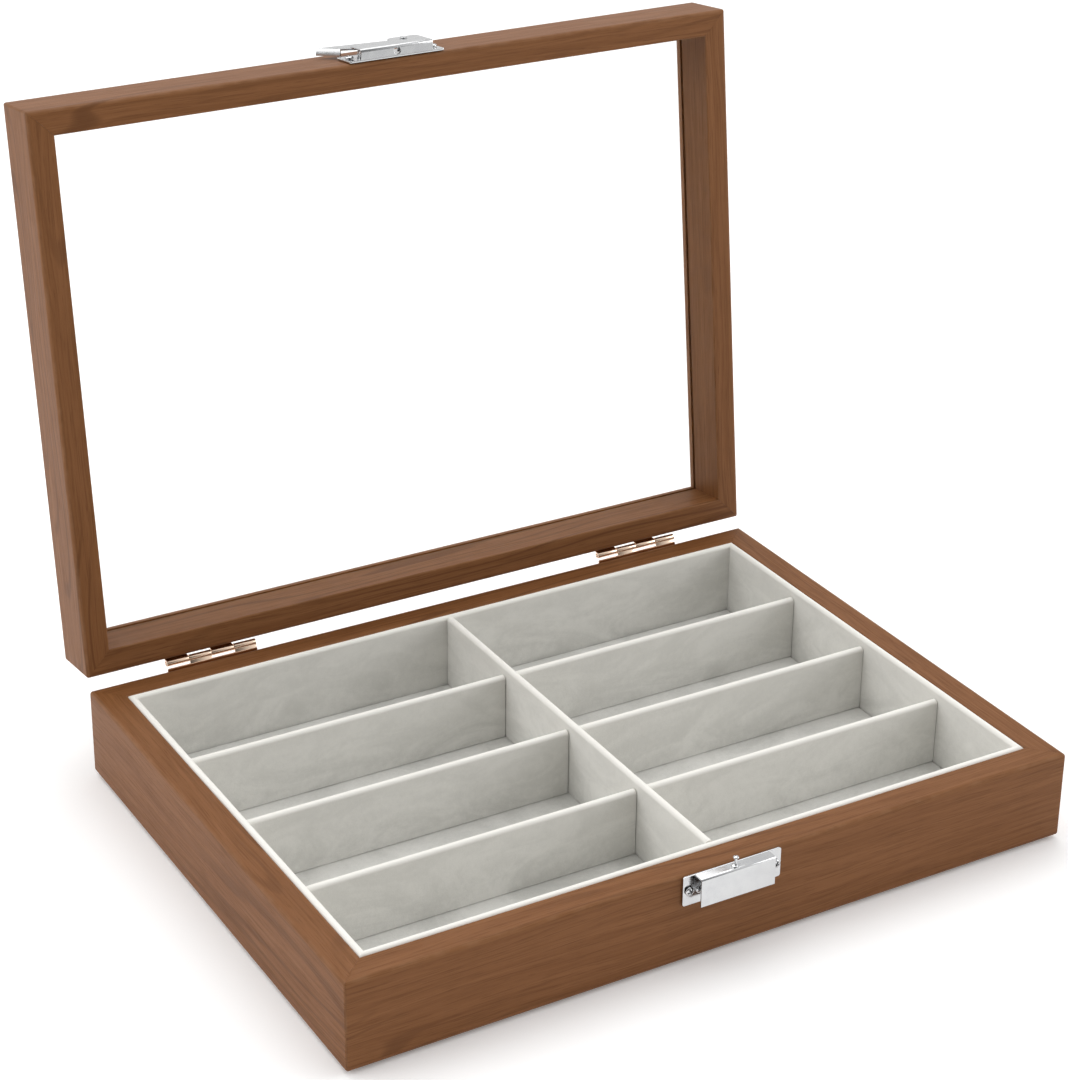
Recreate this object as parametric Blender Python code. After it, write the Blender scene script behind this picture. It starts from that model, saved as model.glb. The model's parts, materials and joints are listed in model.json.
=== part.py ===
"""Glasses organizer: a shallow box with eight lined compartments under a hinged, glazed lid.

The box stands on the origin: +X to the right, +Y to the back, +Z up, all in metres.
The lid's pieces are described as they lie when the lid is closed. They hang on the
empty lid_pivot, which sits on the hinge pins' axis and holds the lid open.
"""

import math

import bmesh
import bpy

# ---------------------------------------------------------------- driving sizes
WIDTH = 0.330              # outside, left to right
DEPTH = 0.243              # outside, front to back
BASE_HEIGHT = 0.0405       # ground to the base's top edge
LID_HEIGHT = 0.0275        # thickness of the lid frame
OPEN_ANGLE = 96.7          # degrees that the lid stands open

GAP = 0.0003               # left between pieces that touch
EDGE_ROUND = 0.0017        # rounding of the wrapped outer edges
INNER_ROUND = 0.0006       # rounding of the wrapped inner edges

WALL = 0.012               # base wall board
FELT = 0.0010              # felt sheet under the base
FELT_INSET = 0.004         # from the outside faces to the felt's edge
BOTTOM = 0.0040            # bottom panel
LINER = 0.0032             # flocked liner board
LINER_PROUD = 0.0004       # liner rim above the base's top edge
PAD = 0.0015               # flocked floor pad
CENTRE_THICK = 0.0033      # divider between the left and right columns
CROSS_THICK = 0.0035       # dividers between the rows
CROSS_DROP = 0.0039        # cross dividers' tops below the rim
ROWS = 4                   # compartments from front to back on each side

RAIL = 0.0109              # lid rail, outside to inside
RAIL_ROUND = 0.0030        # rounding of the rail's inner edge on the outside of the lid
GLASS = 0.0020             # pane thickness
GLASS_DEPTH = 0.0204       # from the lid's mating face to the pane
GROOVE = 0.0030            # how deep the pane's groove goes into the rail

HINGE_SPACING = 0.108      # from the middle to each hinge
HINGE_LENGTH = 0.042
HINGE_OFFSET = 0.0025      # pin axis behind the back faces
HINGE_RISE = 0.0022        # pin axis above the base's top edge
KNUCKLES = 4
KNUCKLE_RADIUS = 0.00145
PIN_RADIUS = 0.00055
PIN_CLEARANCE = 0.0003
LEAF = 0.0006              # sheet thickness of the leaves
LEAF_REACH = 0.0105        # from the pin axis to the leaf's far edge
NECK_DEPTH = 0.8           # how far the neck reaches towards the pin, in knuckle radii
NAIL_SPACING = 0.0140      # from the hinge's middle to each nail
NAIL_REACH = 0.0067        # from the pin axis to the nails
NAIL_HEAD = 0.0013
NAIL_HEAD_HEIGHT = 0.0007
NAIL_SHANK = 0.0006
NAIL_LENGTH = 0.0060

SHEET = 0.0008             # sheet thickness of the latch pieces
PLATE_WIDTH = 0.045
PLATE_HEIGHT = 0.013
COVER_WIDTH = 0.034
COVER_STAND = 0.0056       # outer face of the covers in front of the walls
SHELF_INSET = 0.0001       # shelves from the plates' edges at the seam
CATCH_DROP = 0.0003        # catch's top edge below the base's top edge
CATCH_PANEL = 0.0123       # height of the catch's hanging panel
LATCH_PANEL = 0.0107       # height of the latch's panel
LOBE_LEFT = 0.0020         # the latch's panel is deeper from here to its right end
LOBE_HEIGHT = 0.0155
SCREW_SPACING = 0.0198     # from the middle to each latch screw
SCREW_DROP = 0.0064        # screws from the plate's edge at the seam
SCREW_HEAD = 0.0019
SCREW_HEAD_HEIGHT = 0.0011
SCREW_SHANK = 0.0009
SCREW_LENGTH = 0.0080
SHANK_CLEARANCE = 0.0003

NUB_STAND = 0.0030         # nub's axis in front of the walls
NUB_RISE = 0.0041          # nub above the catch's shelf
NUB_HEAD = 0.0012
NUB_HEAD_HEIGHT = 0.0007
NUB_NECK = 0.0006
NUB_HOLE = 0.0016          # hole in the latch that the nub enters

PIVOT_X = 0.0090           # lever's pivot on the latch plate
PIVOT_RISE = 0.0120
PIVOT_PIN = 0.0010
PIVOT_HEAD = 0.0017
PIVOT_BOSS = 0.0036
HOOK_TIP = 0.0009          # hook's tip beside the nub's axis
HOOK_RISE = 0.0019         # hook's lower edge above the seam
HOOK_HEIGHT = 0.0006
HOOK_LENGTH = 0.0033
ARM_START = 0.0007         # from the hook's tip to the arm above it
ARM_WIDTH = 0.0026
ARM_HEIGHT = 0.0031
ARM_FLARE = 0.0015         # how much wider the arm is where it meets the boss
TAB_FAR = (-0.0275, 0.0222)    # finger tab's far corner: across, above the seam
TAB_NEAR = (-0.0205, 0.0132)   # finger tab's near corner
TAB_NECK = (0.0085, -0.0050)   # from the near corner to where the lever narrows
SPRING_RADIUS = 0.0017     # middle of the spring's wire from the pivot
SPRING_WIRE = 0.0003
SPRING_TURNS = 2
SPRING_STEPS = 12          # pieces of each turn
WIRE_SIDES = 6

ROUND_STEPS = 16           # sides of the round pieces
ARC_STEPS = 4              # pieces of a quarter round

SEAM = GAP                 # between the base's top edge and the closed lid
RIM = BASE_HEIGHT + LINER_PROUD
PANEL_LOW = FELT + GAP
PANEL_TOP = PANEL_LOW + BOTTOM
PAD_LOW = PANEL_TOP + GAP
PAD_TOP = PAD_LOW + PAD
LINER_OUT = WALL + GAP
LINER_IN = LINER_OUT + LINER
LID_LOW = BASE_HEIGHT + SEAM
PIVOT = (0.0, DEPTH / 2 + HINGE_OFFSET, BASE_HEIGHT + HINGE_RISE)
PLATE_FACE = GAP + SHEET                   # outer face of the latch plates
LEVER_TOP = COVER_STAND - SHEET - GAP      # lever's outer face, just inside the cover
LEVER_LOW = LEVER_TOP - SHEET
FLANGE_END = PLATE_FACE + GAP              # lower edge of the lever's finger flange
HOOK_END = NUB_STAND - NUB_NECK - GAP      # lower edge of the hook, past the nub's neck


# ---------------------------------------------------------------- materials
def finish(name, colour, roughness, metallic=0.0, transmission=0.0):
    """One Principled material, in a plain colour."""
    material = bpy.data.materials.new(name)
    material.use_nodes = True
    shader = material.node_tree.nodes["Principled BSDF"]
    shader.inputs["Base Color"].default_value = (*colour, 1.0)
    shader.inputs["Roughness"].default_value = roughness
    shader.inputs["Metallic"].default_value = metallic
    shader.inputs["Transmission Weight"].default_value = transmission
    return material


# ---------------------------------------------------------------- outlines
def rounded(corners):
    """An outline from corners (across, up, radius), each rounded by an arc of that radius."""
    points = []
    count = len(corners)
    for index, (across, up, radius) in enumerate(corners):
        if radius == 0:
            points.append((across, up))
            continue
        before = corners[index - 1]
        after = corners[(index + 1) % count]
        start = math.atan2(before[1] - up, before[0] - across)
        end = math.atan2(after[1] - up, after[0] - across)
        half = ((end - start + math.pi) % (2 * math.pi) - math.pi) / 2
        middle = start + half
        reach = radius / math.sin(abs(half))
        centre = (across + reach * math.cos(middle), up + reach * math.sin(middle))
        sweep = math.copysign(math.pi / 2 - abs(half), -half)
        for step in range(ARC_STEPS + 1):
            turn = middle + math.pi - sweep + 2 * sweep * step / ARC_STEPS
            points.append((centre[0] + radius * math.cos(turn), centre[1] + radius * math.sin(turn)))
    return points


def box_outline(left, low, right, high, radius=0.0):
    """A rectangle, with its corners rounded when a radius is given."""
    return rounded([(left, low, radius), (right, low, radius), (right, high, radius), (left, high, radius)])


def circle(radius, across=0.0, up=0.0, steps=ROUND_STEPS):
    """A regular outline on a circle."""
    turns = [2 * math.pi * step / steps for step in range(steps)]
    return [(across + radius * math.cos(turn), up + radius * math.sin(turn)) for turn in turns]


# ---------------------------------------------------------------- solids
def add_object(name, points, faces, material, place, turn=(0.0, 0.0, 0.0), parent=None, smooth=False):
    """A closed mesh as an object, its faces turned outwards."""
    mesh = bpy.data.meshes.new(name)
    mesh.from_pydata(points, [], faces)
    work = bmesh.new()
    work.from_mesh(mesh)
    bmesh.ops.recalc_face_normals(work, faces=work.faces)
    work.to_mesh(mesh)
    work.free()
    mesh.materials.append(material)
    if smooth:
        mesh.shade_smooth()
        mesh.set_sharp_from_angle(angle=math.radians(35))
    piece = bpy.data.objects.new(name, mesh)
    bpy.context.collection.objects.link(piece)
    piece.location = place
    piece.rotation_euler = turn
    piece.parent = parent
    return piece


def lofted(first, last):
    """Points and faces of a solid between two outlines with the same number of points."""
    count = len(first)
    points = list(first) + list(last)
    faces = [tuple(range(count)), tuple(range(count, 2 * count))]
    for index in range(count):
        after = (index + 1) % count
        faces.append((index, after, count + after, count + index))
    return points, faces


def along_x(outline, low, high):
    """An outline (back, up) carried from low to high along X."""
    return lofted([(low, a, b) for a, b in outline], [(high, a, b) for a, b in outline])


def along_y(outline, low, high):
    """An outline (right, up) carried from low to high along Y."""
    return lofted([(a, low, b) for a, b in outline], [(a, high, b) for a, b in outline])


def along_z(outline, low, high):
    """An outline (right, back) carried from low to high along Z."""
    return lofted([(a, b, low) for a, b in outline], [(a, b, high) for a, b in outline])


def mitred(outline, length):
    """An outline (inset, up) carried along a frame side, and cut at 45 degrees at both ends."""
    cut = GAP / math.sqrt(2)
    ends = [length / 2 - inset - cut for inset, _ in outline]
    left = [(-end, inset, up) for end, (inset, up) in zip(ends, outline)]
    right = [(end, inset, up) for end, (inset, up) in zip(ends, outline)]
    return lofted(left, right)


def turned(profile, steps=ROUND_STEPS):
    """A solid turned about Z from (radius, height) pairs, lowest first, open at neither end."""
    points = []
    faces = []
    for radius, height in profile:
        points += [(a, b, height) for a, b in circle(radius, steps=steps)]
    for ring in range(len(profile) - 1):
        for step in range(steps):
            after = (step + 1) % steps
            low = ring * steps
            high = low + steps
            faces.append((low + step, low + after, high + after, high + step))
    faces.append(tuple(range(steps)))
    faces.append(tuple(range(len(points) - steps, len(points))))
    return points, faces


def apply_tool(target, name, solid, operation, place, turn=(0.0, 0.0, 0.0), parent=None):
    """A hidden solid joined to, or cut from, the target by a Boolean."""
    tool = add_object(name, *solid, target.data.materials[0], place, turn, parent)
    tool.hide_render = True
    tool.display_type = 'WIRE'
    boolean = target.modifiers.new(name, 'BOOLEAN')
    boolean.operation = operation
    boolean.solver = 'EXACT'
    boolean.object = tool


def front_solid(outline, low, high):
    """An outline (across, up) on a front face, from low to high in front of that face."""
    return lofted([(a, -low, b) for a, b in outline], [(a, -high, b) for a, b in outline])


# ---------------------------------------------------------------- frames of base and lid
SIDES = (
    ("front", WIDTH, (0.0, -DEPTH / 2), 0.0),
    ("right", DEPTH, (WIDTH / 2, 0.0), math.pi / 2),
    ("back", WIDTH, (0.0, DEPTH / 2), math.pi),
    ("left", DEPTH, (-WIDTH / 2, 0.0), -math.pi / 2),
)


def four_sides(prefix, suffix, outline, material, low, parent=None):
    """Four mitred bars around the box, by side name, with their outlines' zero at height low."""
    made = {}
    for side, length, (across, back), turn in SIDES:
        place = on_lid(across, back, low) if parent else (across, back, low)
        name = f"{prefix}_{side}_{suffix}"
        made[side] = add_object(name, *mitred(outline, length), material, place, (0, 0, turn), parent, True)
    return made


def on_lid(across, back, up):
    """A place on the closed lid, counted from the pivot."""
    return (across - PIVOT[0], back - PIVOT[1], up - PIVOT[2])


def make_base(leatherette, board, velvet, felt):
    """The base: felt, bottom panel, mitred walls, liner, floor pad and dividers."""
    half_wide = WIDTH / 2
    half_deep = DEPTH / 2
    sheet = box_outline(-half_wide + FELT_INSET, -half_deep + FELT_INSET,
                        half_wide - FELT_INSET, half_deep - FELT_INSET)
    add_object("base_felt", *along_z(sheet, 0.0, FELT), felt, (0, 0, 0))
    inner = WALL + GAP
    panel = box_outline(-half_wide + inner, -half_deep + inner, half_wide - inner, half_deep - inner)
    add_object("base_bottom_panel", *along_z(panel, PANEL_LOW, PANEL_TOP), board, (0, 0, 0))

    tall = BASE_HEIGHT - PANEL_LOW
    wall = rounded([(0, 0, EDGE_ROUND), (WALL, 0, 0), (WALL, tall, INNER_ROUND), (0, tall, EDGE_ROUND)])
    walls = four_sides("base", "wall", wall, leatherette, PANEL_LOW)

    tip = LINER / 2 - GAP / 2
    tall = RIM - PAD_LOW
    liner = rounded([(LINER_OUT, 0, 0), (LINER_IN, 0, 0), (LINER_IN, tall, tip), (LINER_OUT, tall, tip)])
    four_sides("liner", "wall", liner, velvet, PAD_LOW)
    inner = LINER_IN + GAP
    floor = box_outline(-half_wide + inner, -half_deep + inner, half_wide - inner, half_deep - inner)
    add_object("floor_pad", *along_z(floor, PAD_LOW, PAD_TOP), velvet, (0, 0, 0))
    make_dividers(velvet)
    return walls


def divider_outline(thick, high):
    """A board on edge with a rounded top."""
    low = PAD_TOP + GAP
    tip = thick / 2 - GAP / 2
    half = thick / 2
    return rounded([(-half, low, 0), (half, low, 0), (half, high, tip), (-half, high, tip)])


def make_dividers(velvet):
    """One divider from front to back, and cross dividers between the rows on each side of it."""
    inner_wide = WIDTH / 2 - LINER_IN
    inner_deep = DEPTH / 2 - LINER_IN
    centre = divider_outline(CENTRE_THICK, RIM)
    solid = along_y(centre, -inner_deep + GAP, inner_deep - GAP)
    add_object("divider_centre", *solid, velvet, (0, 0, 0), smooth=True)
    start = CENTRE_THICK / 2 + GAP
    cross = divider_outline(CROSS_THICK, RIM - CROSS_DROP)
    row = (2 * inner_deep - (ROWS - 1) * CROSS_THICK) / ROWS
    for index in range(1, ROWS):
        back = -inner_deep + index * row + (index - 0.5) * CROSS_THICK
        for side, low, high in (("left", GAP - inner_wide, -start), ("right", start, inner_wide - GAP)):
            name = f"divider_{side}_{index}"
            add_object(name, *along_x(cross, low, high), velvet, (0, back, 0), smooth=True)


def make_lid(leatherette, glass, lid):
    """The lid: four mitred rails around a pane that sits in their groove."""
    low = GLASS_DEPTH - GAP
    high = GLASS_DEPTH + GLASS + GAP
    rail = rounded([
        (0, 0, EDGE_ROUND), (RAIL, 0, INNER_ROUND), (RAIL, low, 0), (RAIL - GROOVE, low, 0),
        (RAIL - GROOVE, high, 0), (RAIL, high, 0), (RAIL, LID_HEIGHT, RAIL_ROUND),
        (0, LID_HEIGHT, EDGE_ROUND),
    ])
    rails = four_sides("lid", "rail", rail, leatherette, LID_LOW, lid)
    inset = RAIL - GROOVE + GAP
    pane = box_outline(-WIDTH / 2 + inset, -DEPTH / 2 + inset, WIDTH / 2 - inset, DEPTH / 2 - inset)
    place = on_lid(0, 0, LID_LOW + GLASS_DEPTH)
    add_object("glass_pane", *along_z(pane, 0.0, GLASS), glass, place, parent=lid)
    return rails


# ---------------------------------------------------------------- hinges
def make_leaf(name, way, own, place, metal, parent):
    """A hinge leaf: a plate above (way 1) or below (way -1) the pin, with its own knuckles."""
    step = HINGE_LENGTH / KNUCKLES
    inner = GAP - HINGE_OFFSET
    outer = inner + LEAF
    edge = KNUCKLE_RADIUS + GAP
    low, high = sorted((way * edge, way * LEAF_REACH))
    plate = along_x(box_outline(inner, low, outer, high), -HINGE_LENGTH / 2, HINGE_LENGTH / 2)
    leaf = add_object(name, *plate, metal, place, parent=parent, smooth=True)
    for index in own:
        start = -HINGE_LENGTH / 2 + index * step + GAP / 2
        end = start + step - GAP
        low, high = sorted((0.0, way * (edge + LEAF)))
        neck = along_x(box_outline(inner, low, max(outer, -KNUCKLE_RADIUS * NECK_DEPTH), high), start, end)
        apply_tool(leaf, f"{name}_neck_{index}", neck, 'UNION', place, parent=parent)
        knuckle = along_x(circle(KNUCKLE_RADIUS), start, end)
        apply_tool(leaf, f"{name}_knuckle_{index}", knuckle, 'UNION', place, parent=parent)
    bore = along_x(circle(PIN_RADIUS + PIN_CLEARANCE), -HINGE_LENGTH, HINGE_LENGTH)
    apply_tool(leaf, f"{name}_bore", bore, 'DIFFERENCE', place, parent=parent)
    return leaf


def make_nail(name, place, outwards, metal, parent):
    """A round-headed nail whose head rests on a leaf; outwards is its turn about X."""
    head = NAIL_HEAD_HEIGHT
    profile = [(NAIL_SHANK / 3, -NAIL_LENGTH), (NAIL_SHANK, -NAIL_LENGTH * 0.8), (NAIL_SHANK, 0.0),
               (NAIL_HEAD, 0.0), (NAIL_HEAD, head * 0.4), (NAIL_HEAD * 0.75, head * 0.85),
               (NAIL_HEAD * 0.3, head)]
    solid = turned(profile, steps=12)
    return add_object(name, *solid, metal, place, (outwards, 0, 0), parent, True)


def drill(target, name, place, outwards, radius, length, parent=None):
    """A blind hole for a shank, from in front of the face to past the shank's tip."""
    hole = turned([(radius, -length), (radius, length)], steps=12)
    apply_tool(target, name, hole, 'DIFFERENCE', place, (outwards, 0, 0), parent)


def make_hinge(side, across, base_wall, lid_rail, brass, lid):
    """Two leaves on one pin, nailed to the back faces of the base and of the lid."""
    place = (across, PIVOT[1], PIVOT[2])
    base_leaf = make_leaf(f"hinge_{side}_base_leaf", -1, (1, 3), place, brass, None)
    lid_leaf = make_leaf(f"hinge_{side}_lid_leaf", 1, (0, 2), (across, 0, 0), brass, lid)
    pin = along_x(circle(PIN_RADIUS, steps=12), -HINGE_LENGTH / 2, HINGE_LENGTH / 2)
    add_object(f"hinge_{side}_pin", *pin, brass, place, smooth=True)
    outwards = -math.pi / 2
    seat = 2 * GAP + LEAF - HINGE_OFFSET
    hole = NAIL_SHANK + SHANK_CLEARANCE
    deep = NAIL_LENGTH + GAP
    for number, offset in enumerate((-NAIL_SPACING, NAIL_SPACING), start=1):
        low = (across + offset, PIVOT[1] + seat, PIVOT[2] - NAIL_REACH)
        name = f"hinge_{side}_base_nail_{number}"
        make_nail(name, low, outwards, brass, None)
        drill(base_leaf, f"{name}_leaf_hole", low, outwards, hole, deep)
        drill(base_wall, f"{name}_wall_hole", low, outwards, hole, deep)
        high = (across + offset, seat, NAIL_REACH)
        name = f"hinge_{side}_lid_nail_{number}"
        make_nail(name, high, outwards, brass, lid)
        drill(lid_leaf, f"{name}_leaf_hole", high, outwards, hole, deep, lid)
        drill(lid_rail, f"{name}_rail_hole", high, outwards, hole, deep, lid)


# ---------------------------------------------------------------- catch and latch
def make_screws(prefix, place, up, plate, wall, metal, parent):
    """Two pan-head screws through a plate into the wall behind it; up is +1 or -1."""
    head = SCREW_HEAD_HEIGHT
    profile = [(SCREW_SHANK / 3, -SCREW_LENGTH), (SCREW_SHANK, -SCREW_LENGTH * 0.8), (SCREW_SHANK, 0.0),
               (SCREW_HEAD, 0.0), (SCREW_HEAD, head * 0.4), (SCREW_HEAD * 0.8, head * 0.8),
               (SCREW_HEAD * 0.4, head)]
    outwards = math.pi / 2
    seat = PLATE_FACE + GAP
    hole = SCREW_SHANK + SHANK_CLEARANCE
    deep = SCREW_LENGTH + GAP
    for side, across in (("left", -SCREW_SPACING), ("right", SCREW_SPACING)):
        spot = (place[0] + across, place[1] - seat, place[2] + up * SCREW_DROP)
        name = f"{prefix}_screw_{side}"
        add_object(name, *turned(profile), metal, spot, (outwards, 0, 0), parent, True)
        drill(plate, f"{name}_plate_hole", spot, outwards, hole, deep, parent)
        drill(wall, f"{name}_wall_hole", spot, outwards, hole, deep, parent)


def folded_sheet(panel, way):
    """The side view of a cover: a shelf out from inside the plate, then a panel along the wall."""
    root = GAP + SHEET / 2
    inner = COVER_STAND - SHEET
    corners = [
        (root, 0, 0), (COVER_STAND, 0, SHEET), (COVER_STAND, panel, 0), (inner, panel, 0),
        (inner, SHEET, SHEET / 4), (root, SHEET, 0),
    ]
    return rounded([(-stand, way * rise, radius) for stand, rise, radius in corners])


def make_catch(wall, chrome):
    """The base's half: a plate with a hanging cover, and a nub on its shelf."""
    place = (0, -DEPTH / 2, BASE_HEIGHT - CATCH_DROP)
    half = PLATE_WIDTH / 2
    outline = box_outline(-half, -PLATE_HEIGHT, half, 0.0, SHEET / 2)
    catch = add_object("catch_body", *front_solid(outline, GAP, PLATE_FACE), chrome, place, smooth=True)
    shelf = (0, place[1], place[2] - SHELF_INSET)
    cover = along_x(folded_sheet(CATCH_PANEL, -1), -COVER_WIDTH / 2, COVER_WIDTH / 2)
    apply_tool(catch, "catch_cover", cover, 'UNION', shelf)
    stand = (0, shelf[1] - NUB_STAND, shelf[2])
    neck = NUB_RISE - NUB_HEAD_HEIGHT
    foot = NUB_HEAD
    profile = [(foot, -SHEET - GAP - NUB_HEAD_HEIGHT), (foot, -SHEET - GAP), (NUB_NECK, -SHEET - GAP),
               (NUB_NECK, neck), (NUB_HEAD, neck), (NUB_HEAD * 0.55, NUB_RISE)]
    add_object("catch_nub", *turned(profile, steps=12), chrome, stand, smooth=True)
    hole = turned([(NUB_NECK + SHANK_CLEARANCE, -2 * SHEET), (NUB_NECK + SHANK_CLEARANCE, SHEET)], steps=12)
    apply_tool(catch, "catch_nub_hole", hole, 'DIFFERENCE', stand)
    make_screws("catch", place, -1, catch, wall, chrome, None)


def lever_outline():
    """The lever across and above the seam: hook arm, round boss on the pivot, finger tab."""
    clear = HOOK_TIP + ARM_START
    boss = [(PIVOT_X + PIVOT_BOSS * math.cos(turn), PIVOT_RISE + PIVOT_BOSS * math.sin(turn))
            for turn in (math.radians(-60 + 150 * step / 6) for step in range(7))]
    root = (PIVOT_X - PIVOT_BOSS, PIVOT_RISE - PIVOT_BOSS * 1.5)
    arm = [(clear, HOOK_RISE), (clear + ARM_WIDTH, HOOK_RISE), (root[0] + ARM_FLARE, root[1])]
    under = [TAB_NEAR, (TAB_NEAR[0] + TAB_NECK[0], TAB_NEAR[1] + TAB_NECK[1]),
             (clear, HOOK_RISE + ARM_HEIGHT)]
    return arm + boss + [TAB_FAR] + under


def make_latch(rail, chrome, lid):
    """The lid's half: a plate with a cover, and a sprung lever that pivots between them."""
    seam = on_lid(0, -DEPTH / 2, LID_LOW)
    half = PLATE_WIDTH / 2
    outline = box_outline(-half, GAP, half, PLATE_HEIGHT + GAP, SHEET / 2)
    latch = add_object("latch_body", *front_solid(outline, GAP, PLATE_FACE), chrome, seam, parent=lid,
                       smooth=True)
    place = (seam[0], seam[1], seam[2] + GAP + SHELF_INSET)
    cover = along_x(folded_sheet(LATCH_PANEL, 1), -COVER_WIDTH / 2, COVER_WIDTH / 2)
    apply_tool(latch, "latch_cover", cover, 'UNION', place, parent=lid)
    lobe = box_outline(LOBE_LEFT, LATCH_PANEL / 2, COVER_WIDTH / 2, LOBE_HEIGHT, SHEET)
    lobe_solid = front_solid(lobe, COVER_STAND - SHEET, COVER_STAND)
    apply_tool(latch, "latch_lobe", lobe_solid, 'UNION', place, parent=lid)
    mouth = along_z(circle(NUB_HOLE, 0.0, -NUB_STAND), -2 * SHEET, 2 * SHEET)
    apply_tool(latch, "latch_mouth", mouth, 'DIFFERENCE', place, parent=lid)
    bore = PIVOT_PIN + SHANK_CLEARANCE
    bore_solid = front_solid(circle(bore, PIVOT_X, PIVOT_RISE), 0.0, 2 * COVER_STAND)
    apply_tool(latch, "latch_pivot_bore", bore_solid, 'DIFFERENCE', seam, parent=lid)
    make_screws("latch", seam, 1, latch, rail, chrome, lid)
    make_lever(seam, chrome, lid)


def make_lever(seam, chrome, lid):
    """The lever, its pivot pin and its coil spring, each with its origin on the pivot."""
    pivot = (seam[0] + PIVOT_X, seam[1], seam[2] + PIVOT_RISE)
    outline = [(a - PIVOT_X, b - PIVOT_RISE) for a, b in lever_outline()]
    lever = add_object("latch_lever", *front_solid(outline, LEVER_LOW, LEVER_TOP), chrome, pivot, parent=lid)
    far = (TAB_FAR[0] - PIVOT_X, TAB_FAR[1] - PIVOT_RISE)
    near = (TAB_NEAR[0] - PIVOT_X, TAB_NEAR[1] - PIVOT_RISE)
    length = math.dist(far, near)
    aside = (SHEET * (far[1] - near[1]) / length, SHEET * (near[0] - far[0]) / length)
    flange = [far, near, (near[0] + aside[0], near[1] + aside[1]), (far[0] + aside[0], far[1] + aside[1])]
    solid = front_solid(flange, FLANGE_END, LEVER_TOP)
    apply_tool(lever, "lever_flange", solid, 'UNION', pivot, parent=lid)
    hook = box_outline(HOOK_TIP - PIVOT_X, HOOK_RISE - PIVOT_RISE,
                       HOOK_TIP + HOOK_LENGTH - PIVOT_X, HOOK_RISE + HOOK_HEIGHT - PIVOT_RISE)
    solid = front_solid(hook, HOOK_END, LEVER_TOP)
    apply_tool(lever, "lever_hook", solid, 'UNION', pivot, parent=lid)
    bore = front_solid(circle(PIVOT_PIN + PIN_CLEARANCE), 0.0, 2 * LEVER_TOP)
    apply_tool(lever, "lever_bore", bore, 'DIFFERENCE', pivot, parent=lid)

    top = COVER_STAND + GAP
    profile = [(PIVOT_PIN, GAP), (PIVOT_PIN, top), (PIVOT_HEAD, top), (PIVOT_HEAD, top + SHEET / 2),
               (PIVOT_HEAD * 0.6, top + SHEET)]
    add_object("latch_pivot_pin", *turned(profile), chrome, pivot, (math.pi / 2, 0, 0), lid, True)
    make_spring(pivot, chrome, lid)


def make_spring(pivot, metal, lid):
    """A coil round the pivot pin, between the plate and the lever."""
    start = PLATE_FACE + GAP + SPRING_WIRE
    end = LEVER_LOW - GAP - SPRING_WIRE
    steps = SPRING_STEPS * SPRING_TURNS
    sides = WIRE_SIDES
    points = []
    faces = []
    for step in range(steps + 1):
        turn = 2 * math.pi * step / SPRING_STEPS
        stand = start + (end - start) * step / steps
        for side in range(sides):
            angle = 2 * math.pi * side / sides
            radius = SPRING_RADIUS + SPRING_WIRE * math.cos(angle)
            out = stand + SPRING_WIRE * math.sin(angle)
            points.append((radius * math.cos(turn), -out, radius * math.sin(turn)))
    for step in range(steps):
        for side in range(sides):
            after = (side + 1) % sides
            low = step * sides
            faces.append((low + side, low + after, low + sides + after))
            faces.append((low + side, low + sides + after, low + sides + side))
    faces.append(tuple(range(sides)))
    faces.append(tuple(range(steps * sides, (steps + 1) * sides)))
    add_object("latch_spring", points, faces, metal, pivot, parent=lid, smooth=True)


# ---------------------------------------------------------------- the whole organizer
def main():
    for old in list(bpy.data.objects):
        bpy.data.objects.remove(old)
    leatherette = finish("wood_grain_leatherette", (0.24, 0.125, 0.065), 0.45)
    board = finish("fibreboard", (0.35, 0.26, 0.17), 0.8)
    velvet = finish("grey_velvet", (0.56, 0.55, 0.52), 0.95)
    felt = finish("black_felt", (0.03, 0.03, 0.03), 0.95)
    glass = finish("clear_glass", (0.95, 0.97, 0.97), 0.03, transmission=1.0)
    brass = finish("brass", (0.75, 0.50, 0.33), 0.25, metallic=1.0)
    chrome = finish("chrome", (0.78, 0.78, 0.80), 0.18, metallic=1.0)

    lid = bpy.data.objects.new("lid_pivot", None)
    bpy.context.collection.objects.link(lid)
    lid.location = PIVOT
    lid.rotation_euler = (-math.radians(OPEN_ANGLE), 0, 0)

    walls = make_base(leatherette, board, velvet, felt)
    rails = make_lid(leatherette, glass, lid)
    for side, across in (("left", -HINGE_SPACING), ("right", HINGE_SPACING)):
        make_hinge(side, across, walls["back"], rails["back"], brass, lid)
    make_catch(walls["front"], chrome)
    make_latch(rails["front"], chrome, lid)


main()
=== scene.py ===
# %% [markdown]
# # A glasses organizer, made piece by piece
# The object is a shallow box with eight lined compartments under a hinged, glazed lid.
# Its boards are wrapped in a printed wood grain, the inside is lined with grey velvet,
# the hinges are brass and the catch is chrome. A measured frame of the object is loaded
# first. It gives every place and size in metres, so each detailed piece made here is put
# exactly where its plain stand-in is.

# %% Load the frame
import json
import math

import bmesh
import bpy
import numpy as np
from mathutils import Matrix, Vector
from mathutils.geometry import tessellate_polygon


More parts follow.
